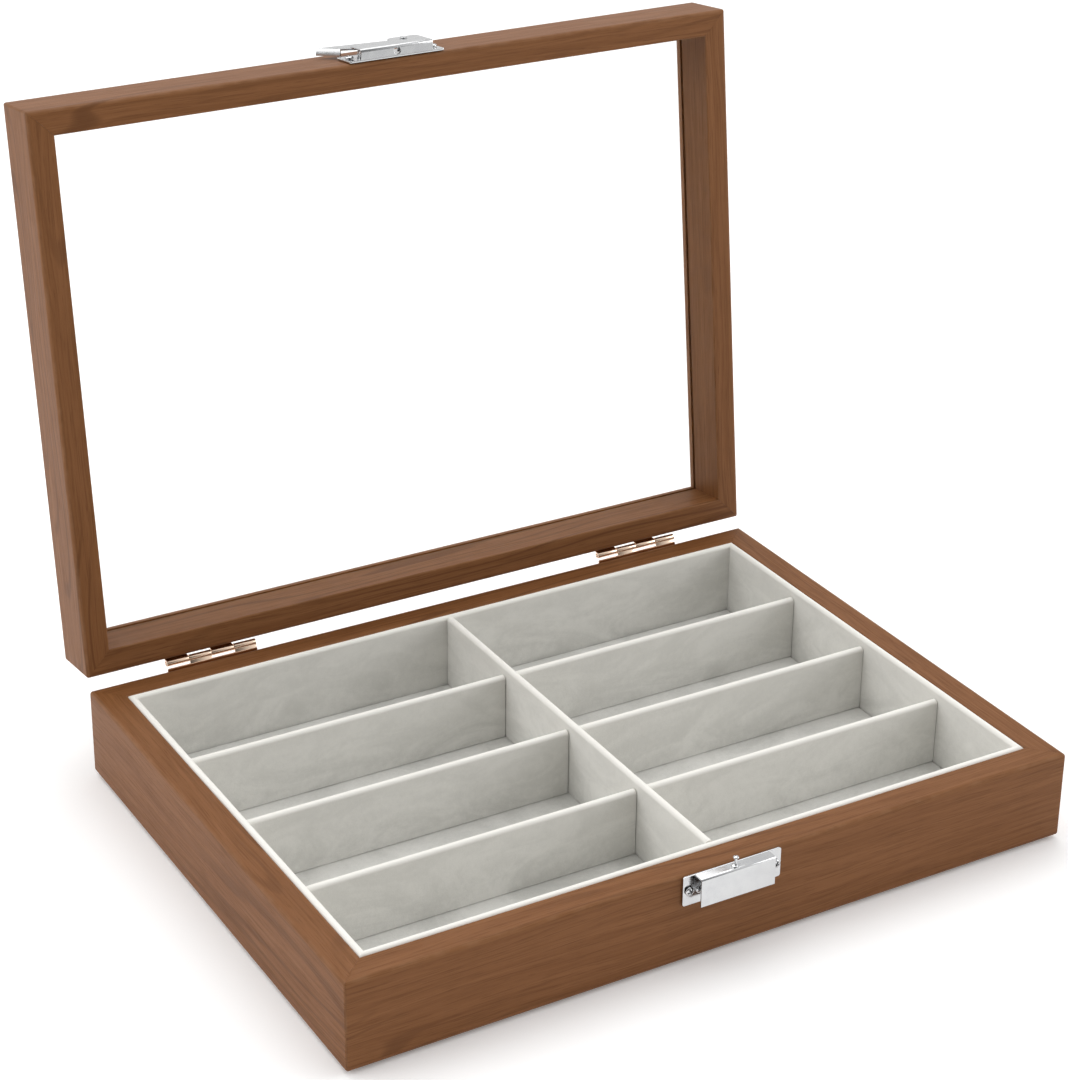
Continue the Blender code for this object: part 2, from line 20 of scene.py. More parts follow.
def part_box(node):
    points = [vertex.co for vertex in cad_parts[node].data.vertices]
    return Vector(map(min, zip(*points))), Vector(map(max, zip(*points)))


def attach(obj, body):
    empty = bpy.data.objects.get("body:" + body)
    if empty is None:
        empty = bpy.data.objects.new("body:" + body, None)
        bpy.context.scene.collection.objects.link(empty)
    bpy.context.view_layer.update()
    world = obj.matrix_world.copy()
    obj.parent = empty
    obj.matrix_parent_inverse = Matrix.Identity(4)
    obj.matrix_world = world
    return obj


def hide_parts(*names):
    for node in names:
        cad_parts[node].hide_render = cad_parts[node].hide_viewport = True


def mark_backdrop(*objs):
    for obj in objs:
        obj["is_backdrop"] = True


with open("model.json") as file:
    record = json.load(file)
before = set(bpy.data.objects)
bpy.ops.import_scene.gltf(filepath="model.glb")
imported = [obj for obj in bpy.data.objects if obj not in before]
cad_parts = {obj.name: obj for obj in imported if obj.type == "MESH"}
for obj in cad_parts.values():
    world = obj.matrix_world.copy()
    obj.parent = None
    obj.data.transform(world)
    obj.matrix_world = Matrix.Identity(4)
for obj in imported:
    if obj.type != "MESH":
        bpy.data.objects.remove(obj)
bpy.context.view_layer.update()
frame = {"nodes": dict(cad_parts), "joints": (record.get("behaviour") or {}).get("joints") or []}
MM = 0.001

# %% [markdown]
# ## The lid's own coordinates
# The lid stands open in the frame, but a lid is easiest to draw lying closed on its box.
# So each lid piece is worked out closed and then turned about the hinge pins by the angle
# that the hinge still has to travel. The joint gives that angle and the pins' place.

# %% Turn between the closed lid and the open one
hinge = next(joint for joint in frame["joints"] if joint["name"] == "lid_hinge")
PINS = np.array(hinge["pos_m"], float)
OPEN_TURN = -math.radians(hinge["range_deg"][1])


def turned_about_pins(points, angle):
    """Each point's offset from the pins, turned about X:
    y' = y cos - z sin, z' = y sin + z cos."""
    across, back, up = (np.asarray(points, float) - PINS).T
    cosine, sine = math.cos(angle), math.sin(angle)
    return np.stack([across, back * cosine - up * sine, back * sine + up * cosine], 1) + PINS


def opened(points):
    """Closed-lid points as they lie on the open lid."""
    return turned_about_pins(points, OPEN_TURN)


def node_points(node):
    """All vertices of a frame node, as an array."""
    vertices = frame["nodes"][node].data.vertices
    points = np.empty(len(vertices) * 3)
    vertices.foreach_get("co", points)
    return points.reshape(-1, 3)


def closed_box(node):
    """Lowest and highest corner of a lid node once the lid is turned shut."""
    points = turned_about_pins(node_points(node), -OPEN_TURN)
    return points.min(0), points.max(0)


print("pins at", PINS.round(4), "open by", round(math.degrees(-OPEN_TURN), 1), "degrees")

# %% Sizes read from the frame
wall_low, wall_high = (np.array(corner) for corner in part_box("base_front_wall"))
WIDTH = -2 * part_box("base_left_wall")[0].x
DEPTH = -2 * float(wall_low[1])
WALL_LOW, WALL_TOP = float(wall_low[2]), float(wall_high[2])
WALL = float(wall_high[1] - wall_low[1])
rail_low, rail_high = closed_box("lid_front_rail")
LID_LOW, LID_TOP = float(rail_low[2]), float(rail_high[2])
RAIL = float(rail_high[1] - rail_low[1])
liner_low, liner_high = (np.array(corner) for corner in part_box("liner_front_wall"))
pane_low, pane_high = closed_box("glass_pane")
print("base", WIDTH, DEPTH, "wall", round(WALL, 4), "top", round(WALL_TOP, 4),
      "lid", round(LID_LOW, 4), "to", round(LID_TOP, 4), "rail", round(RAIL, 4))

# %% [markdown]
# ## Shapes from arrays
# Nearly every piece here is one of three kinds: an outline carried along a line (a board,
# a liner, a divider), a sheet pressed out of flat stock with softened edges (plates, leaves,
# the pane), or a profile turned about an axis (nails, screws, pins). Each kind is a grid of
# points computed in one go. The helpers below turn such grids into closed meshes.

# %% Outlines
ARC = 7  # points on each rounded corner


def rounded(corners, hold=0.25):
    """An outline from corners (a, b, radius), counter-clockwise, and each point's value of edge
    wear and painted highlight.
    A corner becomes an arc that touches both sides: its centre lies on the corner's bisector,
    radius / sin(half angle) away. A point is added hold radii before and after each arc, so
    that the flats stay flat when shaded. This wear and painted highlight is 1 in the middle of an
    arc and 0 on a flat."""
    points, worn = [], []
    places = np.array([corner[:2] for corner in corners], float)
    for index, (across, up, radius) in enumerate(corners):
        here = places[index]
        if radius == 0:
            points.append(here)
            worn.append(0.0)
            continue
        before, after = places[index - 1] - here, places[(index + 1) % len(corners)] - here
        before, after = before / np.linalg.norm(before), after / np.linalg.norm(after)
        half = math.acos(np.clip(before @ after, -1, 1)) / 2
        middle = (before + after) / np.linalg.norm(before + after)
        centre = here + middle * radius / math.sin(half)
        touch = radius / math.tan(half)
        share = np.linspace(0, 1, ARC)[:, None]
        first, last = here + before * touch - centre, here + after * touch - centre
        sweep = math.pi - 2 * half
        arc = np.sin((1 - share) * sweep) * first + np.sin(share * sweep) * last
        arc /= math.sin(sweep)
        points += [here + before * (touch + hold * radius), *(centre + arc),
                   here + after * (touch + hold * radius)]
        # 1 at each arc's middle: edge wear and a painted highlight
        worn += [0.0, *np.sin(math.pi * share[:, 0]), 0.0]
    return np.array(points), np.array(worn)


def box_outline(left, low, right, high, radius=0.0):
    """A rectangle, counter-clockwise, with equal rounded corners."""
    corners = [(left, low), (right, low), (right, high), (left, high)]
    return rounded([(*corner, radius) for corner in corners])[0]


def circle(radius, centre=(0.0, 0.0), steps=32):
    """Points at equal turns on a circle, counter-clockwise."""
    turns = np.linspace(0, 2 * math.pi, steps, endpoint=False)
    return np.stack([np.cos(turns), np.sin(turns)], 1) * radius + np.array(centre)


def inset(outline, by):
    """Each point moved inwards by the sum of its two edges' normals over one plus their
    product, which keeps both edges at the same distance."""
    edges = np.roll(outline, -1, 0) - outline
    normals = np.stack([-edges[:, 1], edges[:, 0]], 1)
    normals /= np.linalg.norm(normals, axis=1, keepdims=True) + 1e-12
    before = np.roll(normals, 1, 0)
    return outline + by * (normals + before) / (1 + (normals * before).sum(1, keepdims=True))


print("a rounded square has", len(box_outline(0, 0, 1, 1, 0.1)), "points")

# %% Grids, and the three kinds of solid


def grid_faces(rows, columns, first=0):
    """Quads of a grid closed across its columns. Point (r, c) has the number
    first + r * columns + c."""
    row, column = np.meshgrid(np.arange(rows - 1), np.arange(columns), indexing="ij")
    after = (column + 1) % columns
    corners = [row * columns + column, row * columns + after,
               (row + 1) * columns + after, (row + 1) * columns + column]
    return (np.stack(corners, -1).reshape(-1, 4) + first).tolist()


def carried(rings):
    """A solid from rings of points, rows by columns by 3, with a flat face on both ends."""
    rings = np.asarray(rings, float)
    rows, columns = rings.shape[:2]
    faces = grid_faces(rows, columns)
    faces += [list(range(columns)), list(range((rows - 1) * columns, rows * columns))]
    return {"points": rings.reshape(-1, 3), "faces": faces}


def pressed(outline, low, high, soft=0.08 * MM, holes=()):
    """A sheet cut to an outline (a, b), from low to high along the third axis, with every edge
    softened: the edge is a quarter round of radius soft, in two steps. Holes are outlines too."""
    step = soft * (1 - math.sqrt(0.5))
    rings = [(2 * soft, low), (soft, low), (step, low + step), (0, low + soft),
             (0, high - soft), (step, high - step), (soft, high), (2 * soft, high)]
    loops = [np.asarray(outline, float)] + [np.asarray(hole, float)[::-1] for hole in holes]
    points, faces, lids = [], [], [[], []]
    for loop in loops:
        first = sum(len(ring) for ring in points)
        for by, height in rings:
            flat = inset(loop, by)
            points.append(np.column_stack([flat, np.full(len(flat), height)]))
        faces += grid_faces(len(rings), len(loop), first)
        lids[0].append(np.arange(len(loop)) + first)
        lids[1].append(np.arange(len(loop)) + first + (len(rings) - 1) * len(loop))
    points = np.concatenate(points)
    for loop_numbers in lids:
        numbers = np.concatenate(loop_numbers)
        if len(loop_numbers) == 1:
            faces.append(numbers.tolist())
            continue
        flat = [[Vector(points[number]) for number in loop] for loop in loop_numbers]
        faces += [[int(numbers[i]) for i in triangle] for triangle in tessellate_polygon(flat)]
    return {"points": points, "faces": faces}


def turned(profile, steps=32):
    """A profile of (radius, height) pairs turned about the third axis; ends at radius 0 close."""
    radius, height = np.asarray(profile, float).T
    turn = np.linspace(0, 2 * math.pi, steps, endpoint=False)
    rings = np.stack([np.outer(radius, np.cos(turn)), np.outer(radius, np.sin(turn)),
                      np.repeat(height[:, None], steps, 1)], -1)
    return {"points": rings.reshape(-1, 3), "faces": grid_faces(len(radius), steps)}


def strip_outline(path, thickness):
    """The outline of a sheet seen edge-on: its middle line moved half a thickness to each side."""
    path = np.asarray(path, float)
    along = np.gradient(path, axis=0)
    aside = np.stack([-along[:, 1], along[:, 0]], 1)
    aside *= thickness / 2 / np.linalg.norm(aside, axis=1, keepdims=True)
    return np.concatenate([path - aside, (path + aside)[::-1]])


def moved(shell, place):
    """The same shell with its points put through place, a function on an array of points."""
    return {**shell, "points": place(shell["points"])}


print("helpers ready: carried, pressed, turned")

# %% From shells to a finished piece


def piece(name, shells, material, body, replaced=(), smooth_angle=35):
    """One object from closed shells: each shell's doubles are merged and its faces turned
    outwards, then all are joined. The object rides on a body and stands for the replaced nodes."""
    whole = bmesh.new()
    for shell in shells:
        part = bpy.data.meshes.new("part")
        part.from_pydata(shell["points"].tolist(), [], shell["faces"])
        if "grain" in shell:
            layer = part.uv_layers.new(name="grain")
            layer.data.foreach_set("uv", shell["grain"].astype(np.float32).ravel())
        # each point's value of wear and painted light or shade, which the finishes read
        if "worn" in shell:
            values = part.attributes.new("worn", "FLOAT", "POINT")
            values.data.foreach_set("value", shell["worn"].astype(np.float32))
        work = bmesh.new()
        work.from_mesh(part)
        bmesh.ops.remove_doubles(work, verts=work.verts, dist=1e-7)
        bmesh.ops.recalc_face_normals(work, faces=work.faces)
        work.to_mesh(part)
        work.free()
        whole.from_mesh(part)
        bpy.data.meshes.remove(part)
    mesh = bpy.data.meshes.new(name)
    whole.to_mesh(mesh)
    whole.free()
    mesh.materials.append(material)
    mesh.shade_smooth()
    mesh.set_sharp_from_angle(angle=math.radians(smooth_angle))
    made = bpy.data.objects.new(name, mesh)
    bpy.context.scene.collection.objects.link(made)
    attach(made, body)
    if replaced:
        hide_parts(*replaced)
    print(f"{name}: {len(mesh.polygons)} faces on {body}")
    return made


# %% [markdown]
# ## Writing a finish
# A finish is a small network of shader nodes. Three short helpers keep such a network
# readable: one adds a node and fills its sockets, one stretches coordinates, and one asks
# for noise. Values that are the same all over a surface are set on the shader itself.

# %% Helpers for shader nodes


def node(tree, kind, inputs=(), **settings):
    """A new shader node. inputs pairs a socket with a value or with another node's output."""
    made = tree.nodes.new("ShaderNode" + kind)
    for name, value in settings.items():
        setattr(made, name, value)
    for socket, value in dict(inputs).items():
        if isinstance(value, bpy.types.NodeSocket):
            tree.links.new(value, made.inputs[socket])
        else:
            made.inputs[socket].default_value = value
    return made


def stretched(tree, vector, scale):
    """Coordinates multiplied by a scale on each axis: a big number makes small features."""
    return node(tree, "Mapping", {"Vector": vector, "Scale": scale}).outputs["Vector"]


def noise(tree, vector, scale, detail=2.0, roughness=0.5, distortion=0.0):
    """Soft random cells of about 1 / scale metres, from 0 to 1."""
    inputs = {"Vector": vector, "Scale": scale, "Detail": detail, "Roughness": roughness,
              "Distortion": distortion}
    return node(tree, "TexNoise", inputs).outputs["Fac"]


def maths(tree, operation, first, second=0.0):
    """One sum on two values."""
    return node(tree, "Math", {0: first, 1: second}, operation=operation).outputs[0]


def mixture(tree, *parts):
    """The sum of (value, weight) pairs: value times weight, added one after another."""
    total = None
    for value, weight in parts:
        part = maths(tree, "MULTIPLY", value, weight)
        total = part if total is None else maths(tree, "ADD", total, part)
    return total


def spread(tree, value, low, high, to_low=0.0, to_high=1.0):
    """value, eased from low..high to to_low..to_high."""
    inputs = {"Value": value, "From Min": low, "From Max": high,
              "To Min": to_low, "To Max": to_high}
    return node(tree, "MapRange", inputs, interpolation_type="SMOOTHSTEP").outputs["Result"]


def blended(tree, share, first, second):
    """A colour between two colours."""
    made = node(tree, "Mix", {0: share, 6: first, 7: second}, data_type="RGBA")
    return made.outputs[2]


def bumped(tree, height, strength, distance):
    """A surface normal tilted by a height pattern, distance metres deep."""
    inputs = {"Height": height, "Strength": strength, "Distance": distance}
    return node(tree, "Bump", inputs).outputs["Normal"]


def finish(name, fixed):
    """A Principled material with its uniform values set on the shader."""
    material = bpy.data.materials.new(name)
    material.use_nodes = True
    shader = material.node_tree.nodes["Principled BSDF"]
    for socket, value in fixed.items():
        shader.inputs[socket].default_value = value
    return material, material.node_tree, shader


def colour(red, green, blue):
    """A linear colour, opaque."""
    return (red, green, blue, 1.0)


def object_place(tree):
    """Object coordinates in metres."""
    return node(tree, "TexCoord").outputs["Object"]


print("shader helpers ready")

# %% [markdown]
# ## Wood-grain wrap
# The boards aren't solid walnut. A printed and lightly embossed sheet is wrapped round them,
# so the grain always runs along the board, turns the rounded edges without a break and
# changes direction at each mitre. The grain therefore follows a map on each board: the first
# number is the distance along it and the second the distance round it, both in metres.
# Streaks are noise that is squeezed across the board and drawn out along it. The tall
# arches of a plain-sawn plank are contour lines of a slow, drawn-out height field.

# %% The wood-grain finish
WOOD_DARK = colour(0.118, 0.043, 0.012)
WOOD_MID = colour(0.190, 0.074, 0.023)
WOOD_LIGHT = colour(0.232, 0.096, 0.034)
WOOD_PORE = colour(0.095, 0.033, 0.009)
# lighter edge tone: wear and a painted highlight on the rounded edges
WOOD_RUB_AND_HIGHLIGHT = colour(0.34, 0.19, 0.105)


def wood_wrap():
    """Streaks, arches and fine dashes over a slow change of tone; edges are lighter, partly from
    wear and partly as a painted highlight.
    """
    material, tree, shader = finish("wood_grain_wrap", {"Specular IOR Level": 0.17})
    along = node(tree, "UVMap", uv_map="grain").outputs["UV"]
    drift = noise(tree, stretched(tree, along, (7, 38, 1)), 1.0, 2.0)
    sway = maths(tree, "MULTIPLY", maths(tree, "SUBTRACT", drift, 0.5), 0.009)
    lift = node(tree, "CombineXYZ", {"Y": sway}).outputs[0]
    bent = node(tree, "VectorMath", {0: along, 1: lift}, operation="ADD").outputs[0]
    broad = noise(tree, stretched(tree, bent, (9, 330, 1)), 1.0, 4.0, 0.6)
    streaks = noise(tree, stretched(tree, bent, (30, 1350, 1)), 1.0, 4.0, 0.62)
    dashes = noise(tree, stretched(tree, bent, (95, 3000, 1)), 1.0, 3.0, 0.6)
    field = noise(tree, stretched(tree, bent, (3.4, 34, 1)), 1.0, 1.0)
    contour = maths(tree, "SINE", maths(tree, "MULTIPLY", field, 92.0))
    arches = spread(tree, contour, 0.62, 1.0)
    where = spread(tree, noise(tree, stretched(tree, along, (5, 17, 1)), 1.0, 1.0), 0.42, 0.62)
    arches = maths(tree, "MULTIPLY", arches, maths(tree, "MULTIPLY", where, 0.72))
    tone = blended(tree, spread(tree, broad, 0.3, 0.7), WOOD_MID, WOOD_LIGHT)
    tone = blended(tree, spread(tree, streaks, 0.47, 0.70, 0.0, 0.60), tone, WOOD_DARK)
    tone = blended(tree, arches, tone, WOOD_DARK)
    tone = blended(tree, spread(tree, dashes, 0.54, 0.72, 0.0, 0.55), tone, WOOD_PORE)
    # rounded edges lightened in patches: partly wear, partly a painted highlight
    worn = node(tree, "Attribute", attribute_name="worn").outputs["Fac"]
    patchy = spread(tree, noise(tree, along, 130.0, 3.0), 0.35, 0.7, 0.06, 0.26)
    rub_and_highlight = maths(tree, "MULTIPLY", worn, patchy)
    tone = blended(tree, rub_and_highlight, tone, WOOD_RUB_AND_HIGHLIGHT)
    tree.links.new(tone, shader.inputs["Base Color"])
    satin = maths(tree, "ADD", spread(tree, streaks, 0.3, 0.75, 0.43, 0.55),
                  spread(tree, dashes, 0.5, 0.7, 0.0, 0.07))
    tree.links.new(satin, shader.inputs["Roughness"])
    relief = mixture(tree, (dashes, 0.6), (streaks, 0.8))
    tree.links.new(bumped(tree, relief, 0.35, 0.10 * MM), shader.inputs["Normal"])
    return material


WOOD = wood_wrap()
print(WOOD.name, "has", len(WOOD.node_tree.nodes), "nodes")

# %% [markdown]
# ## Velvet lining
# Short-nap velvet looks different from every side: fibres that lie away look dark, and those
# that stand up catch the light along rims. Sheen and a painted highlight give the pale rim. Slow
# noise shows where a hand has brushed the nap, and very fine noise gives single fibres. Over a
# board's round top the colour is painted paler: a painted highlight where the rim faces the light.

# %% The velvet finish


def velvet(name, dark, light, rim_highlight):
    """Brushed nap at three scales, with a painted highlight where the piece's own value marks a
    round top.
    """
    material, tree, shader = finish(name, {
        "Specular IOR Level": 0.12, "Sheen Weight": 0.35, "Sheen Roughness": 0.45,
        "Sheen Tint": colour(0.95, 0.94, 0.91)})
    place = object_place(tree)
    brushed = noise(tree, stretched(tree, place, (26, 26, 60)), 1.0, 3.0, 0.6, 1.6)
    tufts = noise(tree, place, 420.0, 3.0, 0.65)
    fibres = noise(tree, place, 2600.0, 2.0, 0.6)
    shade = mixture(tree, (brushed, 0.62), (tufts, 0.22), (fibres, 0.16))
    tone = blended(tree, spread(tree, shade, 0.34, 0.66), dark, light)
    # painted highlight: the rim colour is laid over the round tops, where the light falls
    fold = node(tree, "Attribute", attribute_name="worn").outputs["Fac"]
    tone = blended(tree, fold, tone, rim_highlight)
    tree.links.new(tone, shader.inputs["Base Color"])
    tree.links.new(spread(tree, tufts, 0.3, 0.7, 0.84, 0.98), shader.inputs["Roughness"])
    relief = mixture(tree, (tufts, 0.7), (fibres, 0.5))
    tree.links.new(bumped(tree, relief, 0.55, 0.22 * MM), shader.inputs["Normal"])
    return material


# the third colour is the painted highlight on the round tops
VELVET = velvet("grey_velvet", colour(0.60, 0.595, 0.565), colour(0.75, 0.742, 0.71),
                colour(0.87, 0.85, 0.80))
print(VELVET.name, "has", len(VELVET.node_tree.nodes), "nodes")

# %% [markdown]
# ## Felt, board, metal and glass
# The underside has a black felt sheet and bare fibreboard, both matt and speckled. Metal
# gets its look from what it mirrors, so its colour, roughness and brushed relief vary only
# faintly, but the pits of its screws get painted shade.
# The pane is clear. A lamp's rays pass straight through it, because the lit floor would
# otherwise show a hard shadow that real thin glass doesn't cast.

# %% The other finishes


def speckled(name, dark, light, scale, relief):
    """Matt noise between two tones, rough all over."""
    material, tree, shader = finish(name, {"Specular IOR Level": 0.2})
    place = object_place(tree)
    fine = noise(tree, place, scale, 4.0, 0.7)
    coarse = noise(tree, place, scale / 12, 2.0)
    share = mixture(tree, (fine, 0.75), (coarse, 0.25))
    tone = blended(tree, spread(tree, share, 0.3, 0.7), dark, light)
    tree.links.new(tone, shader.inputs["Base Color"])
    tree.links.new(spread(tree, fine, 0.3, 0.7, 0.82, 0.98), shader.inputs["Roughness"])
    tree.links.new(bumped(tree, fine, 0.6, relief), shader.inputs["Normal"])
    return material


def metal(name, clean, dull, smooth, rough, brushing):
    """Polished metal with faint smudges and a brushed grain drawn out along X. Where the
    piece's own value marks a pit, it is painted near-black as shade."""
    material, tree, shader = finish(name, {"Metallic": 1.0})
    place = object_place(tree)
    grain = noise(tree, stretched(tree, place, brushing), 1.0, 3.0, 0.6)
    smudge = noise(tree, place, 210.0, 3.0, 0.55)
    tone = blended(tree, spread(tree, smudge, 0.35, 0.75), clean, dull)
    # painted shade: near-black colour in the screws' pits
    pit_shade = node(tree, "Attribute", attribute_name="worn").outputs["Fac"]
    tone = blended(tree, pit_shade, tone, colour(0.03, 0.03, 0.03))
    tree.links.new(tone, shader.inputs["Base Color"])
    shine = maths(tree, "ADD", spread(tree, smudge, 0.35, 0.7, smooth, rough),
                  spread(tree, grain, 0.4, 0.7, 0.0, 0.03))
    tree.links.new(shine, shader.inputs["Roughness"])
    tree.links.new(bumped(tree, grain, 0.03, 0.002 * MM), shader.inputs["Normal"])
    return material


def clear_glass():
    """Clear, faintly wiped glass that lets lamp rays pass."""
    material, tree, shader = finish("clear_glass", {
        "Base Color": colour(0.985, 0.995, 0.99), "Transmission Weight": 1.0, "IOR": 1.5})
    wiped = noise(tree, stretched(tree, object_place(tree), (14, 14, 40)), 1.0, 3.0, 0.6, 0.8)
    tree.links.new(spread(tree, wiped, 0.45, 0.8, 0.0, 0.035), shader.inputs["Roughness"])
    passing = node(tree, "BsdfTransparent", {"Color": colour(0.96, 0.975, 0.97)}).outputs[0]
    lamp_ray = node(tree, "LightPath").outputs["Is Shadow Ray"]
    both = node(tree, "MixShader", {0: lamp_ray, 1: shader.outputs[0], 2: passing}).outputs[0]
    tree.links.new(both, tree.nodes["Material Output"].inputs["Surface"])
    return material


BRUSHING = (90, 1600, 1600)
FELT = speckled("black_felt", colour(0.010, 0.010, 0.011), colour(0.040, 0.040, 0.042),
                1500.0, 0.2 * MM)
BOARD = speckled("fibreboard", colour(0.24, 0.165, 0.10), colour(0.40, 0.30, 0.20),
                 900.0, 0.08 * MM)
BRASS = metal("brass", colour(0.92, 0.71, 0.55), colour(0.88, 0.66, 0.50), 0.14, 0.20, BRUSHING)
CHROME = metal("chrome", colour(0.61, 0.615, 0.62), colour(0.57, 0.575, 0.585), 0.13, 0.20,
               BRUSHING)
GLASS = clear_glass()
print("finishes:", [m.name for m in (WOOD, VELVET, FELT, BOARD, BRASS, CHROME, GLASS)])

# %% [markdown]
# ## Wrapped boards
# Each side of the box is a board with a rounded section, carried along the side and cut at
# 45 degrees at both ends. The wrap also softens the box's upright corners, so near its ends the
# board bends round: a point that lies less than the corner radius inside the outer face
# follows a shrinking arc up to the mitre, and deeper points run straight on to it. A hairline
# is left open at each mitre, because two wrapped ends never meet without one.

# %% One board of a frame
SEAM = 0.04 * MM
TURNS = 6      # steps of each end's bend
STATIONS = 25  # rings along a board


def mitred_board(length, outline, worn, corner, shift=0.0, sway=None):
    """Rings along X. With a the inset of an outline point, R the corner radius and t the turn:
    x = share (length/2 - seam - max(a, R)) + max(R - a, 0) sin t,
    inset = a + max(R - a, 0) (1 - cos t).
    The grain map is (x with R t for the bend, distance round the outline + shift)."""
    bends = np.linspace(0, math.pi / 4, TURNS)[1:] if corner else np.zeros(0)
    turns = np.concatenate([bends[::-1], np.zeros(STATIONS), bends])
    ends = len(bends)
    share = np.concatenate([-np.ones(ends), np.linspace(-1, 1, STATIONS), np.ones(ends)])
    way = np.sign(share)
    inward, up = outline.T
    spare = np.maximum(corner - inward, 0)
    straight = length / 2 - SEAM - np.maximum(inward, corner)
    x = share[:, None] * straight + way[:, None] * np.sin(turns)[:, None] * spare
    deep = inward + spare * (1 - np.cos(turns))[:, None]
    high = np.repeat(up[None], len(share), 0)
    if sway:
        deep = deep + sway(x, high)
    made = carried(np.stack([x, deep, high], -1))
    around = np.linalg.norm(np.roll(outline, -1, 0) - outline, axis=1)
    around = np.concatenate([[0], np.cumsum(around)]) + shift
    columns = len(outline)
    map_x = np.column_stack([x + way[:, None] * corner * turns[:, None]] * 2)[:, :columns + 1]
    map_y = np.repeat(around[None], len(share), 0)
    grid = np.stack([map_x, map_y], -1)
    quads = np.stack([grid[:-1, :-1], grid[:-1, 1:], grid[1:, 1:], grid[1:, :-1]], 2)
    caps = np.concatenate([grid[0, :-1], grid[-1, :-1]])
    made["grain"] = np.concatenate([quads.reshape(-1, 2), caps])
    # the upright corners' bends get the same wear and painted highlight as the rounded edges
    bend = np.outer(np.sin(2 * turns), spare / corner if corner else spare)
    made["worn"] = np.maximum(worn[None], bend).ravel()
    return made


SIDES = {  # each side's length, the middle of its outer face, and its turn about the vertical
    "front": (WIDTH, (0.0, -DEPTH / 2), 0.0),
    "right": (DEPTH, (WIDTH / 2, 0.0), math.pi / 2),
    "back": (WIDTH, (0.0, DEPTH / 2), math.pi),
    "left": (DEPTH, (-WIDTH / 2, 0.0), -math.pi / 2),
}


def on_side(side):
    """A place function: board coordinates (x, inset, up) to the box's, by a turn and a move."""
    _, middle, turn = SIDES[side]
    cosine, sine = math.cos(turn), math.sin(turn)

    def place(points):
        x, deep, up = points.T
        across, back = x * cosine - deep * sine, x * sine + deep * cosine
        return np.stack([middle[0] + across, middle[1] + back, up], 1)

    return place


print("a board has", (STATIONS + 2 * TURNS - 2), "rings")

# %% [markdown]
# The base's walls are 12 mm boards. Their outer edges are rounded generously and the inner
# top edge, next to the lining, is tighter. Every board starts its grain at another place on
# the printed sheet, so that no two sides look alike.

# %% The base's four walls
EDGE_ROUND = 1.7 * MM
INNER_ROUND = 0.6 * MM
CORNER_ROUND = 1.0 * MM
TUCK = 0.24 * MM  # the wrap turned down behind the lining takes up most of the gap there
wall_outline, wall_rub_and_highlight = rounded([
    (0, WALL_LOW, EDGE_ROUND), (WALL + TUCK, WALL_LOW, 0),
    (WALL + TUCK, WALL_TOP, INNER_ROUND), (0, WALL_TOP, EDGE_ROUND)])
for number, side in enumerate(SIDES):
    shift = 0.31 * number + 0.05
    board = mitred_board(SIDES[side][0], wall_outline, wall_rub_and_highlight, CORNER_ROUND, shift)
    piece(f"wrapped_{side}_wall", [moved(board, on_side(side))], WOOD, "base",
          [f"base_{side}_wall"])

# %% [markdown]
# The lid's rails are slimmer. Seen from the end, a rail has a groove that holds the pane, and
# the edge that looks into the opening on the outside of the lid is the roundest.

# %% The lid's four rails
GROOVE = 3.0 * MM
RAIL_ROUND = 3.0 * MM
GROOVE_GAP = 0.3 * MM
groove_low, groove_high = pane_low[2] - GROOVE_GAP, pane_high[2] + GROOVE_GAP
rail_outline, rail_rub_and_highlight = rounded([
    (0, LID_LOW, EDGE_ROUND), (RAIL, LID_LOW, INNER_ROUND), (RAIL, groove_low, 0),
    (RAIL - GROOVE, groove_low, 0), (RAIL - GROOVE, groove_high, 0), (RAIL, groove_high, 0),
    (RAIL, LID_TOP, RAIL_ROUND), (0, LID_TOP, EDGE_ROUND)])
for number, side in enumerate(SIDES):
    shift = 0.37 * number + 1.73
    board = mitred_board(SIDES[side][0], rail_outline, rail_rub_and_highlight, CORNER_ROUND, shift)
    rail = moved(moved(board, on_side(side)), opened)
    piece(f"wrapped_{side}_rail", [rail], WOOD, "lid", [f"lid_{side}_rail"])

# %% [markdown]
# ## The pane
# Window glass cut to size has its sharp edges taken off by a stone. The pane is a pressed
# sheet with that small bevel and slightly clipped corners, held in the rails' groove.

# %% The glass pane
pane = pressed(box_outline(pane_low[0], pane_low[1], pane_high[0], pane_high[1], 1.5 * MM),
               pane_low[2], pane_high[2], 0.25 * MM)
piece("clear_pane", [moved(pane, opened)], GLASS, "lid", ["glass_pane"])

# %% [markdown]
# ## Lining, dividers and floor
# The lining is thin board covered in velvet, standing just proud of the walls. A cloth-covered
# board is never quite flat, so its faces swell and dip by about a tenth of a millimetre.
# Its top is fully round, and a painted highlight makes the cloth pale over it.

# %% The lining's four boards
SWELL = 0.054 * MM
TOP_FLAT = 0.15 * MM  # half of the flat that is left between the two arcs of a round top
FULL_ROUND_HOLD = 0.04  # a full round leaves no room for longer holds between its two arcs


def swell(x, up):
    """Slow waves: a sine along the board times one up it, plus a longer one along it."""
    return SWELL * (np.sin(x * 95) * np.cos(up * 210) + 0.6 * np.sin(x * 41 + 1.3))


def rim_highlight_near(up, top, tip):
    """How much painted highlight a round top gets: 1 near the top, 0 from 1.6 tips below."""
    return np.clip((up - top) / tip + 1.6, 0, 1)


LINER = liner_high[1] - liner_low[1]
liner_in = liner_low[1] + DEPTH / 2
liner_tip = LINER / 2 - TOP_FLAT
liner_outline, _ = rounded([
    (liner_in, liner_low[2], 0), (liner_in + LINER, liner_low[2], 0),
    (liner_in + LINER, liner_high[2], liner_tip), (liner_in, liner_high[2], liner_tip)],
    FULL_ROUND_HOLD)
